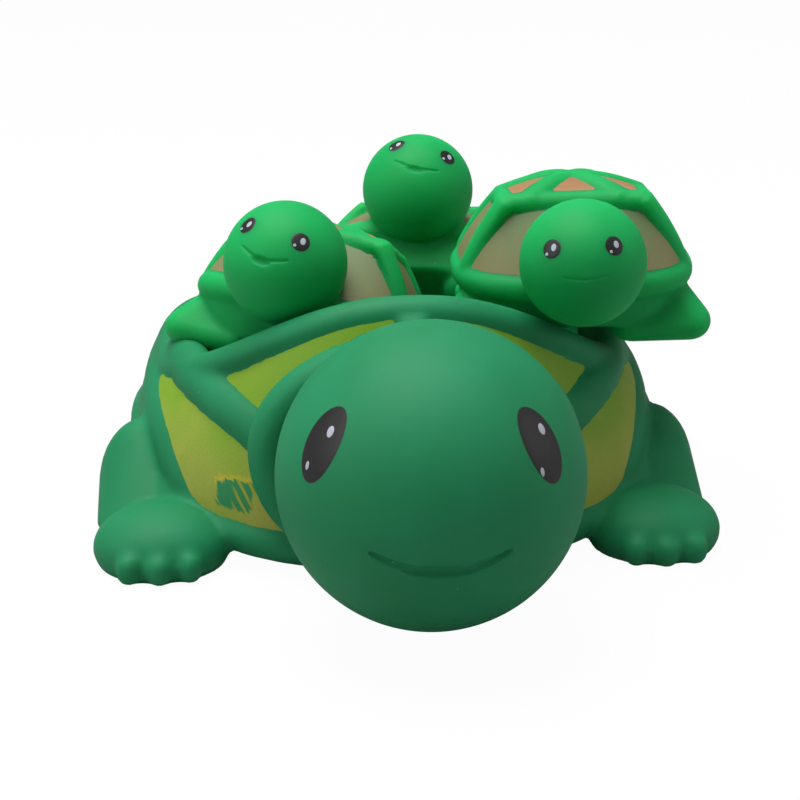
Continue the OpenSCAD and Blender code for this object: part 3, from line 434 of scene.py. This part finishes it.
def seat(piece, at, turn, across, depth):
    """Bores the hole in the belly that a squeaker cup is pressed into."""
    mesh = bmesh.new()
    bmesh.ops.create_cone(mesh, cap_ends=True, segments=96, radius1=across / 2 * MM,
                          radius2=across / 2 * MM, depth=2 * depth * MM,
                          matrix=Matrix.Translation(Vector(at) * MM) @ turn.to_4x4())
    cutter = bpy.data.objects.new("cutter", bpy.data.meshes.new("cutter"))
    mesh.to_mesh(cutter.data)
    mesh.free()
    bpy.context.collection.objects.link(cutter)
    bore = piece.modifiers.new("bore", "BOOLEAN")
    bore.operation = "DIFFERENCE"
    bore.object = cutter
    done = bpy.data.meshes.new_from_object(piece.evaluated_get(bpy.context.evaluated_depsgraph_get()))
    piece.modifiers.clear()
    piece.data = done
    done.shade_smooth()
    bpy.data.objects.remove(cutter)


CUP_HOLE_AT, CUP_HOLE_D, CUP_HOLE_DEPTH = (0, 24, 0), 21.1, 6.6
seat(mother_skin, CUP_HOLE_AT, Matrix.Identity(3), CUP_HOLE_D, CUP_HOLE_DEPTH)


def linear(code):
    """sRGB hex to the linear colour that the shader takes."""
    c = [int(code[i:i + 2], 16) / 255 for i in (1, 3, 5)]
    return [v / 12.92 if v <= 0.04045 else ((v + 0.055) / 1.055) ** 2.4 for v in c] + [1]


def node(mat, kind, sockets, **settings):
    """Adds a shader node with its settings, and sets or links its sockets."""
    new = mat.node_tree.nodes.new("ShaderNode" + kind)
    for name, value in settings.items():
        setattr(new, name, value)
    for name, value in sockets.items():
        if isinstance(value, bpy.types.NodeSocket):
            mat.node_tree.links.new(value, new.inputs[name])
        else:
            new.inputs[name].default_value = value
    return new


def blank(name):
    """A material with no nodes yet."""
    mat = bpy.data.materials.new(name)
    mat.use_nodes = True
    mat.node_tree.nodes.clear()
    return mat


def per(size_mm):
    """Noise scale for features of a size, in the metres of the object's own space."""
    return 1 / (size_mm * MM)


def vinyl(name, body, shade, specks, clear):
    # Rotocast PVC: satin, faintly see-through at thin edges, with slow drifts of
    # pigment, a fine orange peel from the mould and a few pale dust specks.
    mat = blank(name)
    place = node(mat, "TexCoord", {}).outputs["Object"]
    drift = node(mat, "TexNoise", {"Vector": place, "Scale": per(18), "Detail": 3.0}).outputs["Fac"]
    tone = node(mat, "MapRange", {"Value": drift, "From Min": 0.35, "From Max": 0.7}).outputs["Result"]
    colour = node(mat, "Mix", {0: tone, 6: linear(body), 7: linear(shade)}, data_type="RGBA").outputs[2]
    dust = node(mat, "TexVoronoi", {"Vector": place, "Scale": per(6)}, feature="F1").outputs["Distance"]
    speck = node(mat, "MapRange", {"Value": dust, "From Min": 0.0, "From Max": 0.03,
                                   "To Min": specks, "To Max": 0.0}).outputs["Result"]
    colour = node(mat, "Mix", {0: speck, 6: colour, 7: linear("#a9d9c0")}, data_type="RGBA").outputs[2]
    peel = node(mat, "TexNoise", {"Vector": place, "Scale": per(0.7), "Detail": 2.0}).outputs["Fac"]
    bump = node(mat, "Bump", {"Height": peel, "Strength": 0.12, "Distance": 0.12 * MM}).outputs["Normal"]
    rough = node(mat, "MapRange", {"Value": drift, "To Min": 0.54, "To Max": 0.66}).outputs["Result"]
    shader = node(mat, "BsdfPrincipled", {
        "Base Color": colour, "Roughness": rough, "Normal": bump, "IOR": 1.45, "Specular IOR Level": 0.3,
        "Subsurface Weight": clear, "Subsurface Radius": (0.4, 1.0, 0.5), "Subsurface Scale": 0.009,
    }).outputs["BSDF"]
    node(mat, "OutputMaterial", {"Surface": shader})
    return mat


mother_vinyl = vinyl("rotocast_vinyl_sea_green", "#1d8554", "#228d5d", 0.7, 0.08)
mother_skin.data.materials.append(mother_vinyl)
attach(mother_skin, "mother")
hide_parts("mother_skin")

# Mother's painted panels: lime spray paint on the sunk panels between the ribs, laid on
# through a mask. It is thin, so the green shows through as speckle, and one flank has a
# scratched patch.
PAINT_LIFT = 0.4
# Below these shares of the height, by turn, the flank is left bare, and so is its side
SPRAY_EDGE_TURNS = (44, 51, 60, 72, 78, 91, 94)
SPRAY_EDGE_SHARES = (-0.2, 0.12, 0.33, 0.55, 0.68, 0.88, 1.2)
BARE_SIDE_END = 112


def buried(piece, points, depth=0.45):
    """Which points lie under the surface of a piece."""
    mesh = piece.data
    tree = BVHTree.FromPolygons([v.co for v in mesh.vertices], [p.vertices for p in mesh.polygons])
    hidden = []
    for p in points * MM:
        at, out, _, _ = tree.find_nearest(Vector(p))
        hidden.append((Vector(p) - at).dot(out) < -depth * MM)
    return np.array(hidden)


def paint_sheet(name, skin, rows, uv, masked=False):
    """A film of paint over a grid of points, left out where the skin or the mask covers it."""
    m, n = rows.shape[:2]
    points = rows.reshape(-1, 3)
    hidden = buried(skin, points) | np.ravel(masked)
    i, j = np.meshgrid(np.arange(m - 1), np.arange(n - 1), indexing="ij")
    first = (i * n + j).ravel()
    quads = np.stack([first, first + 1, first + n + 1, first + n], -1)
    quads = quads[~hidden[quads].all(1)]
    keep = np.unique(quads)
    new = np.full(len(points), -1)
    new[keep] = np.arange(len(keep))
    piece = make_piece(name, points[keep], new[quads].tolist())
    layer = piece.data.uv_layers.new(name="UVMap")
    spots = uv.reshape(-1, 2)[keep]
    for loop in piece.data.loops:
        layer.data[loop.index].uv = spots[loop.vertex_index]
    return piece


turn, share = np.meshgrid(np.linspace(0, 2 * np.pi, 361), np.linspace(-0.04, 1.04, 30))
aside = 180 - np.abs(np.degrees(turn) - 180)
masked = (share < np.interp(aside, SPRAY_EDGE_TURNS, SPRAY_EDGE_SHARES)) & (aside < BARE_SIDE_END)
mother_paint = paint_sheet("mother_lime_panels", mother_skin, flank(turn, share, PAINT_LIFT),
                           np.stack([turn / (2 * np.pi), share], -1), masked)


def sprayed(name, thick, thin, bare, speckle, scratch=None):
    # Sprayed vinyl paint: matt, pale and thick along the lower edge where two passes
    # met, thinner and greener above, with a grainy speckle of the bare vinyl all over.
    mat = blank(name)
    place = node(mat, "TexCoord", {}).outputs["Object"]
    spot = node(mat, "UVMap", {}).outputs["UV"]
    split = node(mat, "SeparateXYZ", {0: spot})
    round_ = node(mat, "Math", {0: split.outputs["X"], 1: 0.5}, operation="PINGPONG").outputs[0]
    side = node(mat, "MapRange", {"Value": round_, "From Min": 0.12, "From Max": 0.24,
                                  "To Max": -0.6}).outputs["Result"]
    drift = node(mat, "TexNoise", {"Vector": place, "Scale": per(11), "Detail": 2.0}).outputs["Fac"]
    mixed = node(mat, "Math", {0: drift, 1: split.outputs["Y"]}, operation="ADD").outputs[0]
    mixed = node(mat, "Math", {0: mixed, 1: side}, operation="ADD").outputs[0]
    tone = node(mat, "MapRange", {"Value": mixed, "From Min": 0.5, "From Max": 1.2}).outputs["Result"]
    colour = node(mat, "Mix", {0: tone, 6: linear(thick), 7: linear(thin)}, data_type="RGBA").outputs[2]
    grain = node(mat, "TexNoise", {"Vector": place, "Scale": per(0.35), "Detail": 2.0}).outputs["Fac"]
    speck = node(mat, "MapRange", {"Value": grain, "From Min": 0.45, "From Max": 0.75,
                                   "To Max": speckle}).outputs["Result"]
    colour = node(mat, "Mix", {0: speck, 6: colour, 7: linear(bare)}, data_type="RGBA").outputs[2]
    if scratch:
        colour = scratch(mat, place, spot, colour)
    bump = node(mat, "Bump", {"Height": grain, "Strength": 0.2, "Distance": 0.15 * MM}).outputs["Normal"]
    shader = node(mat, "BsdfPrincipled", {"Base Color": colour, "Roughness": 0.6, "Normal": bump,
                                          "IOR": 1.45}).outputs["BSDF"]
    node(mat, "OutputMaterial", {"Surface": shader})
    return mat


def worn_patch(mat, place, spot, colour):
    # Where the paint is scraped off one front panel: bare green with yellow streaks
    # and a ragged yellow upper edge.
    local = node(mat, "Mapping", {"Vector": spot, "Scale": (64, 9, 0),
                                  "Location": (-57.9, -1.53, 0)}).outputs["Vector"]
    square = node(mat, "VectorMath", {0: local, 1: local}, operation="MULTIPLY").outputs["Vector"]
    far = node(mat, "VectorMath", {0: square}, operation="LENGTH").outputs["Value"]
    far = node(mat, "Math", {0: far, 1: 0.5}, operation="POWER").outputs[0]
    lean = node(mat, "Mapping", {"Vector": local, "Rotation": (0, 0, -0.5)}).outputs["Vector"]
    along = node(mat, "Mapping", {"Vector": lean, "Scale": (1, 0.2, 0)}).outputs["Vector"]
    rag = node(mat, "TexNoise", {"Vector": along, "Scale": 4.5, "Detail": 1.0}).outputs["Fac"]
    far = node(mat, "Math", {0: rag, 1: 0.9, 2: far}, operation="MULTIPLY_ADD").outputs[0]
    scraped = node(mat, "MapRange", {"Value": far, "From Min": 1.3, "From Max": 1.42,
                                     "To Min": 1.0, "To Max": 0.0}).outputs["Result"]
    ring = node(mat, "MapRange", {"Value": far, "From Min": 1.42, "From Max": 1.75,
                                  "To Min": 1.0, "To Max": 0.0}).outputs["Result"]
    split = node(mat, "SeparateXYZ", {0: local}).outputs
    above = node(mat, "MapRange", {"Value": split["Y"], "From Min": 0.1, "From Max": 0.6}).outputs["Result"]
    ring = node(mat, "Math", {0: ring, 1: above}, operation="MULTIPLY").outputs[0]
    wave = node(mat, "TexWave", {"Vector": lean, "Scale": 0.75, "Distortion": 0.6,
                                 "Phase Offset": 2.2}).outputs["Fac"]
    streak = node(mat, "MapRange", {"Value": wave, "From Min": 0.62, "From Max": 0.85}).outputs["Result"]
    right = node(mat, "MapRange", {"Value": split["X"], "From Min": -0.25,
                                   "From Max": 0.05}).outputs["Result"]
    streak = node(mat, "Math", {0: streak, 1: right}, operation="MULTIPLY").outputs[0]
    bare = node(mat, "Mix", {0: streak, 6: linear("#2f8d56"), 7: linear("#a2a531")},
                data_type="RGBA").outputs[2]
    colour = node(mat, "Mix", {0: ring, 6: colour, 7: linear("#c6b92c")}, data_type="RGBA").outputs[2]
    return node(mat, "Mix", {0: scraped, 6: colour, 7: bare}, data_type="RGBA").outputs[2]


lime_paint = sprayed("sprayed_lime_paint", "#adb04a", "#82aa20", "#5f9a3c", 0.4, worn_patch)
mother_paint.data.materials.append(lime_paint)
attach(mother_paint, "mother")
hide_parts("mother_panel_paint")

# Mother's eyes, pad-printed: a tall dark oval with a big and a small glint, in satin ink
# that stands a hair proud of the head and follows its curve.
INK_LIFT = 0.06
SPOT_SIDES, SPOT_RINGS = 48, 8
EYE_TURN, EYE_RISE, EYE_LEAN, EYE_W, EYE_H = 48, 26, 10, 8.2, 15
# Glints: how far to the right of the eye's turn, rise, width and height
GLINTS = ((2.6, 31, 1.5, 2.1), (-4, 17, 0.9, 1.6))


def printed(name, at, radius, spots, face=np.eye(3)):
    """Round patches on a ball. A spot is its turn, rise, lean, width and height."""
    points, faces = [], []
    for turn, rise, lean, w, h in spots:
        out = head_dir(turn, rise)
        side = np.cross([0, 0, 1], out)
        side /= np.linalg.norm(side)
        high = np.cross(out, side)
        around = np.linspace(0, 2 * np.pi, SPOT_SIDES, endpoint=False)
        rings = [out[None]]
        lean = math.radians(lean)
        for share in np.linspace(1 / SPOT_RINGS, 1, SPOT_RINGS):
            u, v = share * w / 2 * np.cos(around), share * h / 2 * np.sin(around)
            p = out + ((u * math.cos(lean) - v * math.sin(lean))[:, None] * side
                       + (u * math.sin(lean) + v * math.cos(lean))[:, None] * high) / radius
            rings.append(p / np.linalg.norm(p, axis=1, keepdims=True))
        start = sum(len(p) for p in points)
        n = SPOT_SIDES
        lift = [radius + INK_LIFT] * SPOT_RINGS + [radius + INK_LIFT * 0.2]
        points.append(np.concatenate([ring * far for ring, far in zip(rings, lift)]) @ face.T + at)
        faces += [[start, start + 1 + k, start + 1 + (k + 1) % n] for k in range(n)]
        for ring in range(SPOT_RINGS - 1):
            first = start + 1 + ring * n
            faces += [[first + k, first + n + k, first + n + (k + 1) % n, first + (k + 1) % n]
                      for k in range(n)]
    return make_piece(name, np.concatenate(points), faces)


def pairs(turn, marks):
    """Upright spots about both eyes."""
    return [(x * turn + aside, rise, 0, w, h) for aside, rise, w, h in marks for x in (-1, 1)]


ovals = [(x * EYE_TURN, EYE_RISE, x * EYE_LEAN, EYE_W, EYE_H) for x in (-1, 1)]
mother_eyes = printed("mother_eyes", HEAD_AT, HEAD_R, ovals, mother_face)
mother_glints = printed("mother_eye_glint_dots", HEAD_AT, HEAD_R + INK_LIFT, pairs(EYE_TURN, GLINTS),
                        mother_face)


def ink(name, code, other, rough):
    # Pad-printing ink: opaque and satin, with a faint mottle from the pad.
    mat = blank(name)
    place = node(mat, "TexCoord", {}).outputs["Object"]
    mottle = node(mat, "TexNoise", {"Vector": place, "Scale": per(1.2), "Detail": 2.0}).outputs["Fac"]
    colour = node(mat, "Mix", {0: mottle, 6: linear(code), 7: linear(other)}, data_type="RGBA").outputs[2]
    bump = node(mat, "Bump", {"Height": mottle, "Strength": 0.08, "Distance": 0.1 * MM}).outputs["Normal"]
    shader = node(mat, "BsdfPrincipled", {"Base Color": colour, "Roughness": rough, "Normal": bump,
                                          "IOR": 1.5}).outputs["BSDF"]
    node(mat, "OutputMaterial", {"Surface": shader})
    return mat


eye_ink = ink("printed_ink_black", "#161417", "#211e20", 0.45)
glint_ink = ink("printed_ink_white", "#c4c9d4", "#aab2c0", 0.4)
mother_eyes.data.materials.append(eye_ink)
mother_glints.data.materials.append(glint_ink)
for piece, cad, finish in ((mother_eyes, "mother_eye_paint", "eye_paint"),
                           (mother_glints, "mother_eye_glints", "glint_paint")):
    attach(piece, "mother")
    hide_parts(cad)

# Babies' skins: three rotocast babies from one mould, in a brighter and clearer green.
# They differ in how their faces came out of the mould, so the smile is pressed in for
# each. A baby is made standing at the middle, and then put in the bowl by BABY_HOLD.
BABY_HOLD = np.array([0.0, -27.0, 23.0])
BABY_HEAD_AT = BABY_HOLD - [0, 0, 1.5]
BABY_HEAD_R = 12.7
BABY_NECK_R = 8.5
BABY_NECK_PATH = [[0, -23, 22], [0, -18, 19.5], [0, -13, 17]]
BABY_HALF_W, BABY_HALF_L = 25.5, 23.0
BABY_MARGIN_R, BABY_MARGIN_TOP, BABY_MARGIN_Z = 3.0, 68, 14.4
BABY_BELLY_HALF_W, BABY_BELLY_HALF_L, BABY_BELLY_Z, BABY_CHEST_RISE = 19.9, 17.9, 1.5, 3.5
BABY_RIB_R, BABY_RIB_RISE, BABY_RIB_WIDE = 1.8, 0.9, 1.5
SIDE_BULGE, TOP_CROWN = 0.7, 4.5
TOP_RIBS = (48, 106, 148, 212, 254, 312)
# Corners of the top field: turn, then shares of its half width, half length and height
FIELD_SHARES = np.array([[70, 0.98, -0.84, 1.05], [106, 1, 0.1, 1], [148, 0.6, 0.88, 0.97],
                         [212, -0.6, 0.88, 0.97], [254, -1, 0.1, 1], [290, -0.98, -0.84, 1.05]])
FIELD_SIZE = (15.0, 14.0, 29.8)
APEX = np.array([0, 0, 33.0])
APEX_RADII, APEX_SUNK = (4.5, 4.5, 1.9), 1
FLIPPER = (((24, -12, 4.2), (4.5, 5.5, 4), 32), ((12, -12, 4), (5, 5.5, 3.8), 32),
           ((17.5, -9, 12), (5, 5, 4), 24))
REAR_FLIPPER = (((18, 15, 3.4), (6, 6.25, 4), 32), ((14, 11, 10), (5, 5, 5), 16))
BABY_VOXEL = 0.6


def baby_fullness(turn):
    """How square the shell's outline is: full in front and round behind."""
    return np.where(np.cos(turn) > 0, 3.1, 2.0)


def baby_margin(turn):
    half_w, half_l = BABY_HALF_W - BABY_MARGIN_R, BABY_HALF_L - BABY_MARGIN_R
    return oval(turn, half_w, half_l, half_l, baby_fullness(turn)) + [0, 0, BABY_MARGIN_Z]


def baby_out(turn):
    return outward(turn, BABY_HALF_W, BABY_HALF_L, BABY_HALF_L, baby_fullness(turn))


def field_edge(turn):
    """The edge of the top field, straight from corner to corner."""
    degrees = np.degrees(turn) % 360
    shares = [np.interp(degrees, FIELD_SHARES[:, 0], FIELD_SHARES[:, k], period=360) for k in (1, 2, 3)]
    return np.stack(shares, -1) * FIELD_SIZE


def baby_side(turn, share, lift=0.0):
    """The side panels' surface, from the margin at share 0 up to the top field at share 1."""
    out = baby_out(turn)
    low = roll(baby_margin(turn), out, BABY_MARGIN_R, BABY_MARGIN_TOP)
    share = np.asarray(share, float)[..., None]
    up = out + [0, 0, 1]
    up /= np.linalg.norm(up, axis=-1, keepdims=True)
    return low + (field_edge(turn) - low) * share + out * SIDE_BULGE * 4 * share * (1 - share) + up * lift


def baby_top(turn, share, lift=0.0):
    """The top field's surface, from its edge at share 0 to the shell's apex at share 1."""
    share = np.asarray(share, float)[..., None]
    rise = TOP_CROWN * (np.sin(np.pi / 2 * share) - share) + lift
    return field_edge(turn) + (APEX - field_edge(turn)) * share + rise * np.array([0, 0, 1])


def baby_lump():
    turn = np.linspace(0, 2 * np.pi, 144, endpoint=False)
    out, margin = baby_out(turn), baby_margin(turn)
    belly = oval(turn, BABY_BELLY_HALF_W, BABY_BELLY_HALF_L, BABY_BELLY_HALF_L, baby_fullness(turn))
    belly[:, 2] = BABY_BELLY_Z + BABY_CHEST_RISE * np.maximum(0, np.cos(turn)) ** 2
    rows = [belly * [0.5, 0.5, 1], belly]
    rows += [roll(margin, out, BABY_MARGIN_R, rise) for rise in np.linspace(-70, BABY_MARGIN_TOP, 10)[:-1]]
    rows += [baby_side(turn, share + 0 * turn) for share in np.linspace(0, 1, 12)]
    rows += [baby_top(turn, share + 0 * turn) for share in np.linspace(0, 0.95, 12)[1:]]
    return net(rows)


def baby_ribs():
    """The ring round the top field, the ribs down from its corners and those to the apex."""
    sink = BABY_RIB_RISE - BABY_RIB_R
    around = np.linspace(0, 2 * np.pi, 96, endpoint=False)
    ring = baby_side(around, 0.97 + 0 * around, sink)
    ribs = [tube(ring, BABY_RIB_R, closed=True, up=baby_out(around) + [0, 0, 1], wide=1.25)]
    along = np.linspace(0, 1, 16)
    for corner, crest in zip(np.radians(FIELD_SHARES[:, 0]), np.radians(TOP_RIBS)):
        up = baby_out(corner) + [0, 0, 1]
        ribs.append(tube(baby_side(corner + 0 * along, along, sink), BABY_RIB_R, up=up, wide=BABY_RIB_WIDE))
        ribs.append(tube(baby_top(crest + 0 * along, along * 0.97, sink), BABY_RIB_R, wide=BABY_RIB_WIDE))
    return ribs


lumps = [baby_lump(), ball(BABY_HEAD_AT, (BABY_HEAD_R,) * 3, 64), tube(BABY_NECK_PATH, BABY_NECK_R, 32),
         ball(APEX - [0, 0, APEX_SUNK], APEX_RADII, 32)] + baby_ribs()
limbs = [limb(FLIPPER), limb(REAR_FLIPPER)]
lumps += limbs + [mirrored(lump) for lump in limbs]
baby_points, baby_faces = fuse(lumps, BABY_VOXEL)
baby_points = stand(soften(stand(baby_points), neighbours(baby_faces), rounds=4))
baby_points = true_ball(baby_points, BABY_HEAD_AT, BABY_HEAD_R, reach=0.35)


def turned(lie):
    """Turn about Z, then pitch up, then roll, in degrees."""
    yaw, pitch, tilt = (math.radians(d) for d in lie)
    return np.array(Matrix.Rotation(yaw, 3, "Z") @ Matrix.Rotation(-pitch, 3, "X")
                    @ Matrix.Rotation(-tilt, 3, "Y"))


# Where each baby's BABY_HOLD comes in the bowl, how the baby lies, how its face sits on the
# head, and the line, width, rise, bend and opening of its smile
BABIES = {
    "left": ((-23.8, -26.9, 59.9), (-22.5, 23, -7.8), (-1.5, 3.2, -4.7), (0.42, 50, 8, 1.35, (4.4, 2.0))),
    "right": ((34.4, -42.1, 62.6), (-4.2, -0.5, 1.4), (-5.3, 10.6, 2.5), (0.16, 44, 3, 2.0, (0.8, 0.5))),
    "rear": ((8.5, 27.5, 61.6), (-10, 60.5, -1), (3.1, -16.4, -10.6), (0.38, 50, 7, 1.35, (4.4, 1.6))),
}
BABY_SMILE_DROP = 10
BABY_CUP_AT, BABY_CUP_HOLE_D, BABY_CUP_HOLE_DEPTH = (0, 4, 1.5), 15.1, 7


def seated(points, baby):
    """Points of the standing baby, where this baby lies in the bowl."""
    head, lie = BABIES[baby][:2]
    return (points - BABY_HOLD) @ turned(lie).T + head


baby_vinyl = vinyl("rotocast_vinyl_bright_green", "#0aa052", "#0eac59", 0.5, 0.8)
baby_skins = {}
for baby, (_, lie, face, (line, wide, rise, bend, opening)) in BABIES.items():
    face = turned(face)
    path = smile_path(BABY_HEAD_AT, BABY_HEAD_R, wide, BABY_SMILE_DROP, rise, face, bend)
    points, faces = smile(baby_points.copy(), baby_faces, BABY_HEAD_AT, BABY_HEAD_R, path, line,
                          opening, face)
    skin = make_piece(baby + "_baby_turtle_skin", seated(points, baby), faces)
    cup_at = seated(np.array(BABY_CUP_AT), baby)
    seat(skin, cup_at, Matrix(turned(lie).tolist()), BABY_CUP_HOLE_D, BABY_CUP_HOLE_DEPTH)
    skin.data.materials.append(baby_vinyl)
    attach(skin, baby + "_baby")
    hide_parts(baby + "_baby_skin")
    baby_skins[baby] = skin

# Babies' painted panels: tan spray paint between the ribs of each baby's shell, two
# passes on the top field and one thin one down the sides, where the green dulls it to
# olive.
FILM_LIFT = 0.15
tan_top = sprayed("sprayed_tan_paint", "#ab7c54", "#a0714a", "#857f50", 0.3)
tan_side = sprayed("sprayed_olive_tan_paint", "#8b7f57", "#77815a", "#3f9355", 0.6)
for baby, skin in baby_skins.items():
    for place, form, end, paint in (("top", baby_top, 0.93, tan_top), ("side", baby_side, 1.0, tan_side)):
        turn, share = np.meshgrid(np.linspace(0, 2 * np.pi, 241), np.linspace(0, end, 24))
        points = seated(form(turn, share, FILM_LIFT), baby)
        film = paint_sheet(baby + "_baby_" + place + "_panels", skin, points,
                           np.stack([turn / (2 * np.pi), share], -1))
        film.data.materials.append(paint)
        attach(film, baby + "_baby")
        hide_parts(baby + "_baby_panel_paint")

# Babies' eyes: round printed dots with two glints, in the same inks as the mother's and
# laid on the same way.
BABY_EYE_TURN = 30
BABY_EYES = ((0, 18, 3.9, 3.9),)
BABY_GLINTS = ((2, 19, 1.1, 1.5), (-4.5, 13, 0.65, 0.65))
for baby in BABIES:
    face = turned(BABIES[baby][1]) @ turned(BABIES[baby][2])
    at = seated(BABY_HEAD_AT, baby)
    eyes = printed(baby + "_baby_eyes", at, BABY_HEAD_R, pairs(BABY_EYE_TURN, BABY_EYES), face)
    dots = printed(baby + "_baby_eye_glint_dots", at, BABY_HEAD_R + INK_LIFT,
                   pairs(BABY_EYE_TURN, BABY_GLINTS), face)
    for piece, cad, mat, finish in ((eyes, "_baby_eye_paint", eye_ink, "eye_paint"),
                                    (dots, "_baby_eye_glints", glint_ink, "glint_paint")):
        piece.data.materials.append(mat)
        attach(piece, baby + "_baby")
        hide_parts(baby + cad)

# Squeakers: a white cup of moulded polyethylene pressed into each belly, a red ABS block
# in it, and a thin steel reed that buzzes over the slot in the block. The CAD solids
# stay, with the finishes of the real ones.


def moulded(name, code, other, rough):
    # Injection-moulded plastic: even, satin, with a faint grain of the steel mould.
    mat = blank(name)
    place = node(mat, "TexCoord", {}).outputs["Object"]
    grain = node(mat, "TexNoise", {"Vector": place, "Scale": per(0.5), "Detail": 2.0}).outputs["Fac"]
    cloud = node(mat, "TexNoise", {"Vector": place, "Scale": per(9)}).outputs["Fac"]
    colour = node(mat, "Mix", {0: cloud, 6: linear(code), 7: linear(other)}, data_type="RGBA").outputs[2]
    bump = node(mat, "Bump", {"Height": grain, "Strength": 0.15, "Distance": 0.1 * MM}).outputs["Normal"]
    shader = node(mat, "BsdfPrincipled", {"Base Color": colour, "Roughness": rough,
                                          "Normal": bump}).outputs["BSDF"]
    node(mat, "OutputMaterial", {"Surface": shader})
    return mat


def rolled_steel():
    # Spring steel strip: rolled, so its fine lines run along the strip.
    mat = blank("rolled_spring_steel")
    place = node(mat, "TexCoord", {}).outputs["Object"]
    lines = node(mat, "Mapping", {"Vector": place, "Scale": (1, 0.04, 1)}).outputs["Vector"]
    scratch = node(mat, "TexNoise", {"Vector": lines, "Scale": per(0.15), "Detail": 3.0}).outputs["Fac"]
    rough = node(mat, "MapRange", {"Value": scratch, "To Min": 0.2, "To Max": 0.42}).outputs["Result"]
    bump = node(mat, "Bump", {"Height": scratch, "Strength": 0.1, "Distance": 0.05 * MM}).outputs["Normal"]
    shader = node(mat, "BsdfPrincipled", {"Base Color": linear("#c4c6c9"), "Metallic": 1.0,
                                          "Roughness": rough, "Normal": bump}).outputs["BSDF"]
    node(mat, "OutputMaterial", {"Surface": shader})
    return mat


cup_plastic = moulded("moulded_white_polyethylene", "#e6e4dc", "#dcd9cf", 0.42)
block_plastic = moulded("moulded_red_abs", "#c2463a", "#b83e34", 0.35)
reed_steel = rolled_steel()
for turtle in ("mother", "left_baby", "right_baby", "rear_baby"):
    for part, mat in (("squeaker_cup", cup_plastic), ("reed_block", block_plastic), ("reed", reed_steel)):
        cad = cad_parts[turtle + "_" + part]
        cad.data.materials.clear()
        cad.data.materials.append(mat)

# Floor, light and camera, in metres: a white paper table in a bright room. The light is
# broad and comes from above, with a weaker one from each side. The paper is shown nearly
# white to the camera, and keeps some of its shading for the toy's shadow.
FLOOR_HALF = 3
floor = bpy.data.objects.new("floor", bpy.data.meshes.new("floor"))
corners = [(x * FLOOR_HALF, y * FLOOR_HALF, 0) for x, y in ((-1, -1), (1, -1), (1, 1), (-1, 1))]
floor.data.from_pydata(corners, [], [(0, 1, 2, 3)])
bpy.context.collection.objects.link(floor)
paper = blank("white_paper_floor")
place = node(paper, "TexCoord", {}).outputs["Object"]
fibre = node(paper, "TexNoise", {"Vector": place, "Scale": per(1.5)}).outputs["Fac"]
bump = node(paper, "Bump", {"Height": fibre, "Strength": 0.05, "Distance": 0.1 * MM}).outputs["Normal"]
matt = node(paper, "BsdfPrincipled", {"Base Color": linear("#a8a8a8"), "Roughness": 0.9,
                                      "Normal": bump}).outputs["BSDF"]
glow = node(paper, "Emission", {"Color": (1, 1, 1, 1), "Strength": 1.05}).outputs["Emission"]
path = node(paper, "LightPath", {}).outputs["Is Camera Ray"]
share = node(paper, "Math", {0: path, 1: 0.92}, operation="MULTIPLY").outputs[0]
both = node(paper, "MixShader", {0: share, 1: matt, 2: glow}).outputs["Shader"]
node(paper, "OutputMaterial", {"Surface": both})
floor.data.materials.append(paper)

world = bpy.data.worlds.new("white_room")
bpy.context.scene.world = world
world.use_nodes = True
world.node_tree.nodes.clear()
seen = node(world, "LightPath", {})
clear = node(world, "Math", {0: seen.outputs["Is Camera Ray"], 1: seen.outputs["Is Transmission Ray"]},
             operation="MAXIMUM").outputs[0]
strength = node(world, "MapRange", {"Value": clear, "To Min": 0.22, "To Max": 1.0}).outputs["Result"]
sky = node(world, "Background", {"Color": (1, 1, 1, 1), "Strength": strength}).outputs["Background"]
node(world, "OutputWorld", {"Surface": sky})


def lamp(name, at, target, size, watts):
    """A softbox, turned to face a place."""
    light = bpy.data.lights.new(name, "AREA")
    light.shape = "RECTANGLE"
    light.size, light.size_y = size
    light.energy = watts
    held = bpy.data.objects.new(name, light)
    held.location = at
    held.rotation_euler = (Vector(target) - Vector(at)).to_track_quat("-Z", "Y").to_euler()
    bpy.context.collection.objects.link(held)


lamp("softbox_above", (-0.12, 0.0, 0.75), (0, 0, 0.03), (0.6, 0.5), 6.2)
lamp("softbox_left", (-0.68, -0.2, 0.42), (0, -0.02, 0.03), (0.4, 0.5), 1.3)
lamp("softbox_right", (0.7, -0.15, 0.32), (0, -0.02, 0.03), (0.4, 0.5), 0.6)

CAMERA_AT = (-0.0348, -0.4019, 0.1598)
CAMERA_DOWN, CAMERA_TURN = 19.29, -5.196
lens = bpy.data.cameras.new("camera")
lens.lens = 85.3
lens.sensor_width = 36
lens.clip_start = 0.01
camera = bpy.data.objects.new("camera", lens)
camera.location = CAMERA_AT
camera.rotation_euler = (math.radians(90 - CAMERA_DOWN), 0, math.radians(CAMERA_TURN))
bpy.context.collection.objects.link(camera)
bpy.context.scene.camera = camera
bpy.context.scene.view_settings.view_transform = "Standard"
